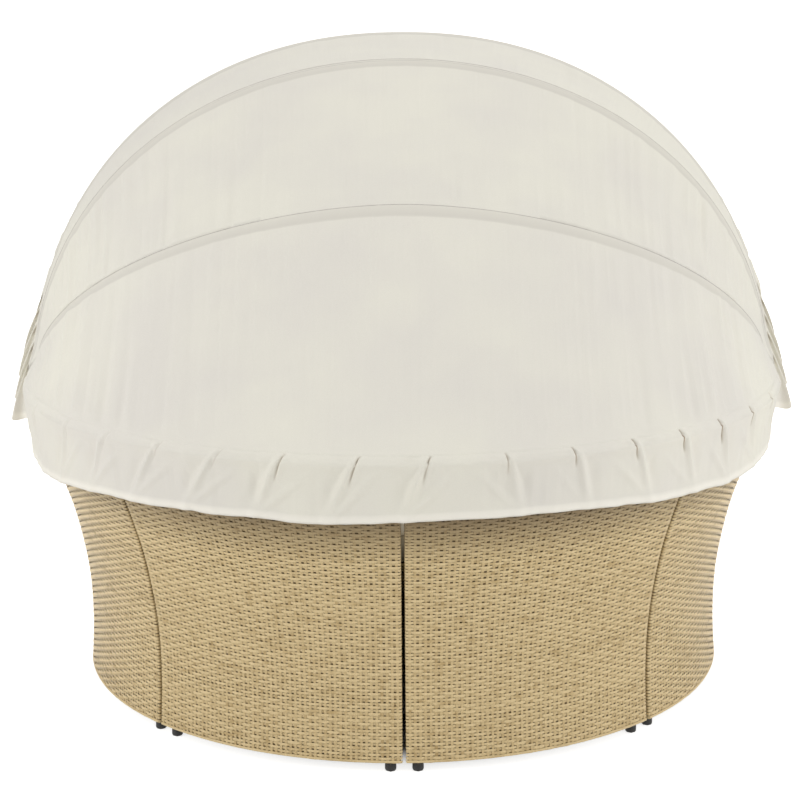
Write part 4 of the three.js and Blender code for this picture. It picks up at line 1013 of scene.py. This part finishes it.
def build_rear_valance():
    """Cloth round the rim under the rear hoop, gathered in tucks, with a turned hem."""
    columns, rows = 2401, 36
    first = math.asin(0.006 / REAR_HOOP_RADIUS)
    bearing = np.linspace(-math.pi / 2 + first, math.pi / 2 - first, columns)[:, None]
    v = np.linspace(0, 1, rows)[None, :] ** 1.2
    top = PIVOT_HEIGHT + 0.004
    hem_height = hermite(HEM_LINE, np.degrees(bearing))
    relief, lateral, crease = np.zeros((3, columns, rows))
    grow = clamp(v / 0.06)
    for i, (degrees, slant, crisp, reach, shade) in enumerate(TUCKS):
        local = np.random.default_rng(300 + i)
        side = 1.0 if slant > 0 else -1.0
        bend = side * (0.010 * np.sqrt(v) + (0.040 * abs(slant) + 0.006) * v)
        d = (bearing * VALANCE_REACH - math.radians(degrees) * VALANCE_REACH + bend) * side
        # The slit, and the lip over it, which is lower on the tucks at the left.
        slit = crisp * grow * np.exp(-((v / reach) ** 3))
        lip = min(max((degrees + 58) / 32, 0.12), 1.0) if degrees < 0 else 1.0
        relief += slit * (bell(d - 0.004, 0.006) * 0.0030 * lip - bell(d + 0.0035, 0.0045) * 0.0042)
        lateral -= side * slit * bell(d - 0.003, 0.005) * 0.0050 * lip
        # The folds that fall from it: a ridge, a valley beside it, and one across.
        ridge = bell(d + 0.013 + 0.010 * v, 0.0068 + 0.006 * v) * bell(v - 0.45, 0.42)
        relief += ridge * 0.0072 * grow * (0.55 + 0.45 * max(crisp, 0.8))
        valley = bell(d + 0.036, 0.016) * bell(v - 0.5, 0.35)
        relief -= valley * (0.0036 + 0.0020 * abs(degrees) / 90) * local.uniform(0.6, 1.3)
        beside = local.uniform(0.045, 0.075) * (1.3 - 1.6 * v)
        cross = bell(d - beside, 0.011) * clamp(v / 0.25) * bell(v - 0.65, 0.3)
        relief += cross * local.uniform(0.0008, 0.0050)
        # Painted shade along the slit of each tuck, fading down its reach.
        depth = clamp(1.25 - ((v - 0.03) / reach) ** 2) * grow
        tone = np.clip(1.2 * crisp - 0.2, 0, 1.3) * (1.0 if shade < 0.0025 else 0.5)
        crease = np.maximum(crease, bell(d + 0.0010 + 0.0018 * crisp, shade) * depth * tone)
    broad = smooth_noise((columns, rows), (51, rows / 1.8), 5) * 0.0022 * clamp(v / 0.2)
    fine = smooth_noise((columns, rows), (15, rows / 1.5), 6) * 0.0007 * clamp(v / 0.1)
    wave = smooth_noise((columns, 1), (86, 1), 9) * 0.0014 + smooth_noise((columns, 1), (26, 1), 10) * 0.0005
    height = top + (hem_height + wave - top) * v
    hem = clamp((v - (1 - HEM / (top - hem_height))) / 0.05)
    radius = REAR_HOOP_RADIUS + hermite(VALANCE_OUT, v) + (relief + broad + fine) + 0.0008 * hem
    clear_of_wall = wall_radius(np.minimum(height, RIM_HEIGHT)) + 0.0025
    radius = np.maximum(radius, np.where(height < RIM_HEIGHT + 0.004, clear_of_wall, 0))
    verts = at_bearing(radius, bearing + lateral / REAR_HOOP_RADIUS, height)
    turned_up = height[:, -1:] + np.array([[0.0004, 0.008, 0.016]])
    verts = np.concatenate([verts, at_bearing(radius[:, -1:] - 0.0016, bearing, turned_up)], 1)
    hem = np.concatenate([hem * 0.8, np.full((columns, 3), 0.8)], 1)
    crease = np.concatenate([crease, np.zeros((columns, 3))], 1)
    made = cloth_sheet("rear_valance", verts, hem=hem, crease=crease)
    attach(made, "base")
    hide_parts("rear_valance")
    return made


# The front valance's hem near a pivot: distance along the hoop, how far out past the pivot, and how
# far over it.
PIVOT_HEM = [
    (0.000, 0.022, -0.114), (0.014, 0.042, -0.120), (0.034, 0.065, -0.125), (0.067, 0.063, -0.086),
    (0.100, 0.058, -0.047), (0.133, 0.051, -0.006), (0.167, 0.042, 0.033), (0.200, 0.024, 0.068),
    (0.230, 0.010, 0.096), (0.290, -0.012, 0.140),
]
GATHER_PITCH = 0.043
FAN_PITCH = 0.045


def build_front_valance():
    """Cloth gathered along the front hoop; near the pivots it hangs in a fan of ruffles."""
    columns, rows = 1601, 34
    hoop = HOOP["front_hoop"]
    distances = hoop.between(0.001, columns)
    frame_at = hoop.at(distances)
    middle, out, forward = frame_at
    side = np.sign(middle[:, 0])
    from_pivot = np.minimum(distances, hoop.length - distances)
    near = bell(from_pivot, 0.16)[:, None]
    free = eased(clamp((from_pivot - 0.19) / 0.10))[:, None]
    slope = np.abs(out[:, :1])
    across = side[:, None] * np.array([1.0, 0, 0])
    away = unit(forward * (0.3 + 0.35 * slope) + out * 0.35 * slope + np.array([0, 0, -1.0]))
    hang = across * 0.24 + np.array([0, 0.02, -0.97])
    away = unit(away * (1 - near) + hang * near)
    wrap = np.clip(np.arctan2(-(away * out).sum(-1), (away * forward).sum(-1)), 0.15, 0.9)
    lip = square_to(out * np.cos(wrap)[:, None] + forward * np.sin(wrap)[:, None], away)
    run = np.cross(lip, away)
    hub = bell(from_pivot, 0.04)
    radius = CLOTH_RADIUS + 0.0115 * hub
    wander = smooth_noise((columns, 1), (60, 1), 21)[:, 0] * 0.005
    along = np.linspace(-0.5, 0.5, columns) * hoop.length + wander
    phase = 2 * math.pi * along / GATHER_PITCH
    wide_phase = 2 * math.pi * along / (2 * GATHER_PITCH)
    gathers, knots = np.cos(phase), clamp(np.cos(phase + 1.2)) ** 5
    ruffle = np.cos(wide_phase + smooth_noise((columns, 1), (130, 1), 22)[:, 0])
    slack = 0.004 * smooth_noise((columns, 1), (50, 1), 23)[:, 0]
    fan_phase = 2 * math.pi * (from_pivot + wander) / FAN_PITCH + 0.8
    fan_waves, fan_knots = np.cos(fan_phase), clamp(np.cos(fan_phase + 1.2)) ** 3
    reach = np.minimum(from_pivot, PIVOT_HEM[-1][0])
    past, over = (hermite(PIVOT_HEM, reach, column) for column in (1, 2))
    over = over * np.where((side < 0) & (reach < 0.13), 0.9, 1)
    fan = np.stack([side * (middle[0, 0] + past), middle[:, 1] - 0.012, PIVOT_HEIGHT + over], -1)
    places, hems, creases = [], [np.zeros(columns)] * 4, [np.zeros(columns)] * 4
    for share in np.linspace(0, 1, 4, endpoint=False):
        angle = wrap * share + (0.05 - 1.0 * hub) * (1 - share)
        wound = CLOTH_RADIUS + (radius - CLOTH_RADIUS) * min(1, 0.3 + 2 * share)
        places.append(on_cloth(frame_at, angle, wound[:, None]))
    root = on_cloth(frame_at, wrap, radius[:, None])
    for v in np.arange(rows) / (rows - 1):
        # Along the hoop: gathers that run down askew, pinched knots and a swinging lower edge.
        tuck = 0.0045 * math.exp(-(v / 0.3)) * min(1, v / 0.04) + 0.0030 * v
        pinch = -0.0075 * knots * bell(v - 0.14, 0.15)
        swing = 0.0105 * min(1, v / 0.5) * (0.9 + ruffle) * (0.75 + 0.25 * v)
        drop = (VALANCE_DROP - 0.002) * v * (1 + 0.03 * ruffle) + slack * v
        rise = np.roll(gathers, int(round(16 * v))) * tuck + pinch + swing
        sweep = 0.010 * v * np.sin(wide_phase)
        place = root + away * drop[:, None] + lip * rise[:, None] + run * sweep[:, None]
        # Near the pivots: a fan down to its hem, ruffled to the front and back.
        bulge = 0.006 * math.sin(math.pi * v) + 0.0055 * fan_waves * v
        ruffles = 0.008 * fan_waves * min(1, v / 0.15) - 0.005 * fan_knots * bell(v - 0.12, 0.1)
        fanned = root + (fan - root) * v + across * bulge[:, None] + np.array([0, 1.0, 0]) * ruffles[:, None]
        places.append(fanned * (1 - free) + place * free)
        # Painted shade in the pinched knots of the fan near the pivots.
        creases.append(fan_knots**2 * bell(v - 0.12, 0.07) * 0.5 * (1 - free[:, 0]))
        hems.append(np.full(columns, 0.7 * clamp((v - 1 + HEM / VALANCE_DROP) / 0.04)))
    made = cloth_sheet("front_valance", np.stack(places), hem=np.stack(hems), crease=np.stack(creases))
    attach(made, "front_hoop")
    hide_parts("front_valance")
    return made


def build_canopy():
    """The three panels, their seams and the two valances."""
    rear = build_panel("canopy_panel_rear", "rear_hoop", "second_hoop", 31, 0.012, 0.05, first_angle=0.15)
    middle = build_panel("canopy_panel_middle", "second_hoop", "third_hoop", 32, 0.014, -0.012)
    front = build_panel("canopy_panel_front", "third_hoop", "front_hoop", 33, 0.012, 0.0, last_angle=0.10)
    seam_line("second_hoop_seam", "second_hoop", 0.02, 0.0002, 0.0007)
    seam_line("third_hoop_seam", "third_hoop", 0.02, 0.0002, 0.0007)
    seam_line("third_hoop_stitch", "third_hoop", -0.65, 0.0001, 0.0006)
    rear_valance, front_valance = build_rear_valance(), build_front_valance()


# Carried-over nodes.

def dress_nodes():
    """Materials and soft edges for the nodes that show as they are."""
    for name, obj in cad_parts.items():
        if obj.hide_render:
            continue
        if name.endswith("_frame"):
            dressed, width = FRAME_PAINT, 0.0012
        elif any(word in name for word in ("clip", "washer", "cradle")) and "screw" not in name:
            dressed, width = PLASTIC, 0.0004
        else:
            dressed, width = ZINC, 0.0003
        obj.data.materials.clear()
        obj.data.materials.append(dressed)
        bevel = obj.modifiers.new("soft_edges", "BEVEL")
        bevel.width, bevel.segments, bevel.limit_method = width, 2, "ANGLE"
        bevel.angle_limit = math.radians(35)


# Stage.

FLOOR_GLOW = 0.8  # seen by the camera; the floor's own light and shadow make up the rest


def build_stage():
    """A pale floor that is bright round the base and keeps the object's shadow."""
    surface = Surface("floor")
    rays = surface.add("LightPath").node.outputs
    seen = surface.math("MAXIMUM", rays["Is Camera Ray"], rays["Is Glossy Ray"])
    limits = {
        "Value": surface.reach(surface.add("NewGeometry", out="Position")),
        "From Min": BASE_RADIUS - 0.145, "From Max": BASE_RADIUS - 0.035,
    }
    around = surface.add("MapRange", limits, out="Result", interpolation_type="SMOOTHSTEP")
    glow = surface.math("MULTIPLY", surface.math("MULTIPLY", seen, FLOOR_GLOW), around)
    made = surface.shaded({
        "Base Color": (0.86, 0.86, 0.85, 1), "Roughness": 0.9,
        "Emission Color": (1, 0.995, 0.985, 1), "Emission Strength": glow,
    })
    bpy.ops.mesh.primitive_plane_add(size=400, location=(0, 0, -0.0005))
    floor = bpy.context.object
    floor.name = "floor"
    floor.data.materials.append(made)


LAMPS = (  # name, watts, size and place
    ("left", 53, 2.4, (4.0, 2.4, 1.7)),
    ("right", 53, 2.4, (-4.0, 2.4, 1.7)),
    ("high", 29, 1.6, (0.0, 0.2, 5.2)),
    ("front", 34, 3.0, (-0.8, -4.0, 3.2)),
)
LAMP_TARGET = (0, 0, 0.6)
WORLD_STRENGTH = 0.63


def build_light():
    """A soft world, plain white to the camera, and four large lamps."""
    world = bpy.data.worlds.new("studio")
    bpy.context.scene.world = world
    world.use_nodes = True
    nodes, links = world.node_tree.nodes, world.node_tree.links
    soft, bright = nodes["Background"], nodes.new("ShaderNodeBackground")
    path, mix = nodes.new("ShaderNodeLightPath"), nodes.new("ShaderNodeMixShader")
    links.new(path.outputs["Is Camera Ray"], mix.inputs["Fac"])
    colours = (((1.0, 0.995, 0.985, 1), WORLD_STRENGTH), ((1, 1, 1, 1), 1.0))
    for i, (background, (colour, strength)) in enumerate(zip((soft, bright), colours)):
        background.inputs["Color"].default_value = colour
        background.inputs["Strength"].default_value = strength
        links.new(background.outputs["Background"], mix.inputs[i + 1])
    links.new(mix.outputs["Shader"], nodes["World Output"].inputs["Surface"])
    for name, energy, size, place in LAMPS:
        lamp = bpy.data.lights.new(name, "AREA")
        lamp.energy, lamp.size = energy, size
        obj = bpy.data.objects.new(name, lamp)
        obj.location = Vector(place)
        aim = Vector(LAMP_TARGET) - Vector(place)
        obj.rotation_euler = aim.to_track_quat("-Z", "Y").to_euler()
        bpy.context.scene.collection.objects.link(obj)


# Camera, fitted to the photograph.
IMAGE_SIZE = 800
FOCAL_PIXELS = 1858
SENSOR_WIDTH = 36.0
CAMERA_DISTANCE, CAMERA_HEIGHT = 4.4, 1.638
PITCH, ROLL = math.radians(12.86), math.radians(0.45)


def build_camera():
    """The photograph's view, from behind, with its slight pitch and roll."""
    data = bpy.data.cameras.new("photo")
    data.sensor_width = SENSOR_WIDTH
    data.lens = FOCAL_PIXELS / IMAGE_SIZE * SENSOR_WIDTH
    data.shift_x = -1.5 / IMAGE_SIZE
    data.clip_start, data.clip_end = 0.05, 500
    obj = bpy.data.objects.new("photo", data)
    obj.location = Vector((0, CAMERA_DISTANCE + CENTRE[1], CAMERA_HEIGHT))
    right, up = Vector((-1, 0, 0)), Vector((0, -math.sin(PITCH), math.cos(PITCH)))
    back = Vector((0, math.cos(PITCH), math.sin(PITCH)))
    c, s = math.cos(ROLL), math.sin(ROLL)
    axes = Matrix((right * c - up * s, up * c + right * s, back)).transposed()
    obj.rotation_mode = "QUATERNION"
    obj.rotation_quaternion = axes.to_quaternion()
    bpy.context.scene.collection.objects.link(obj)
    bpy.context.scene.camera = obj


build_wicker()
build_glides()
build_cushions()
build_hoops()
build_canopy()
dress_nodes()
build_stage()
build_light()
build_camera()
bpy.context.scene.view_settings.view_transform = "Standard"
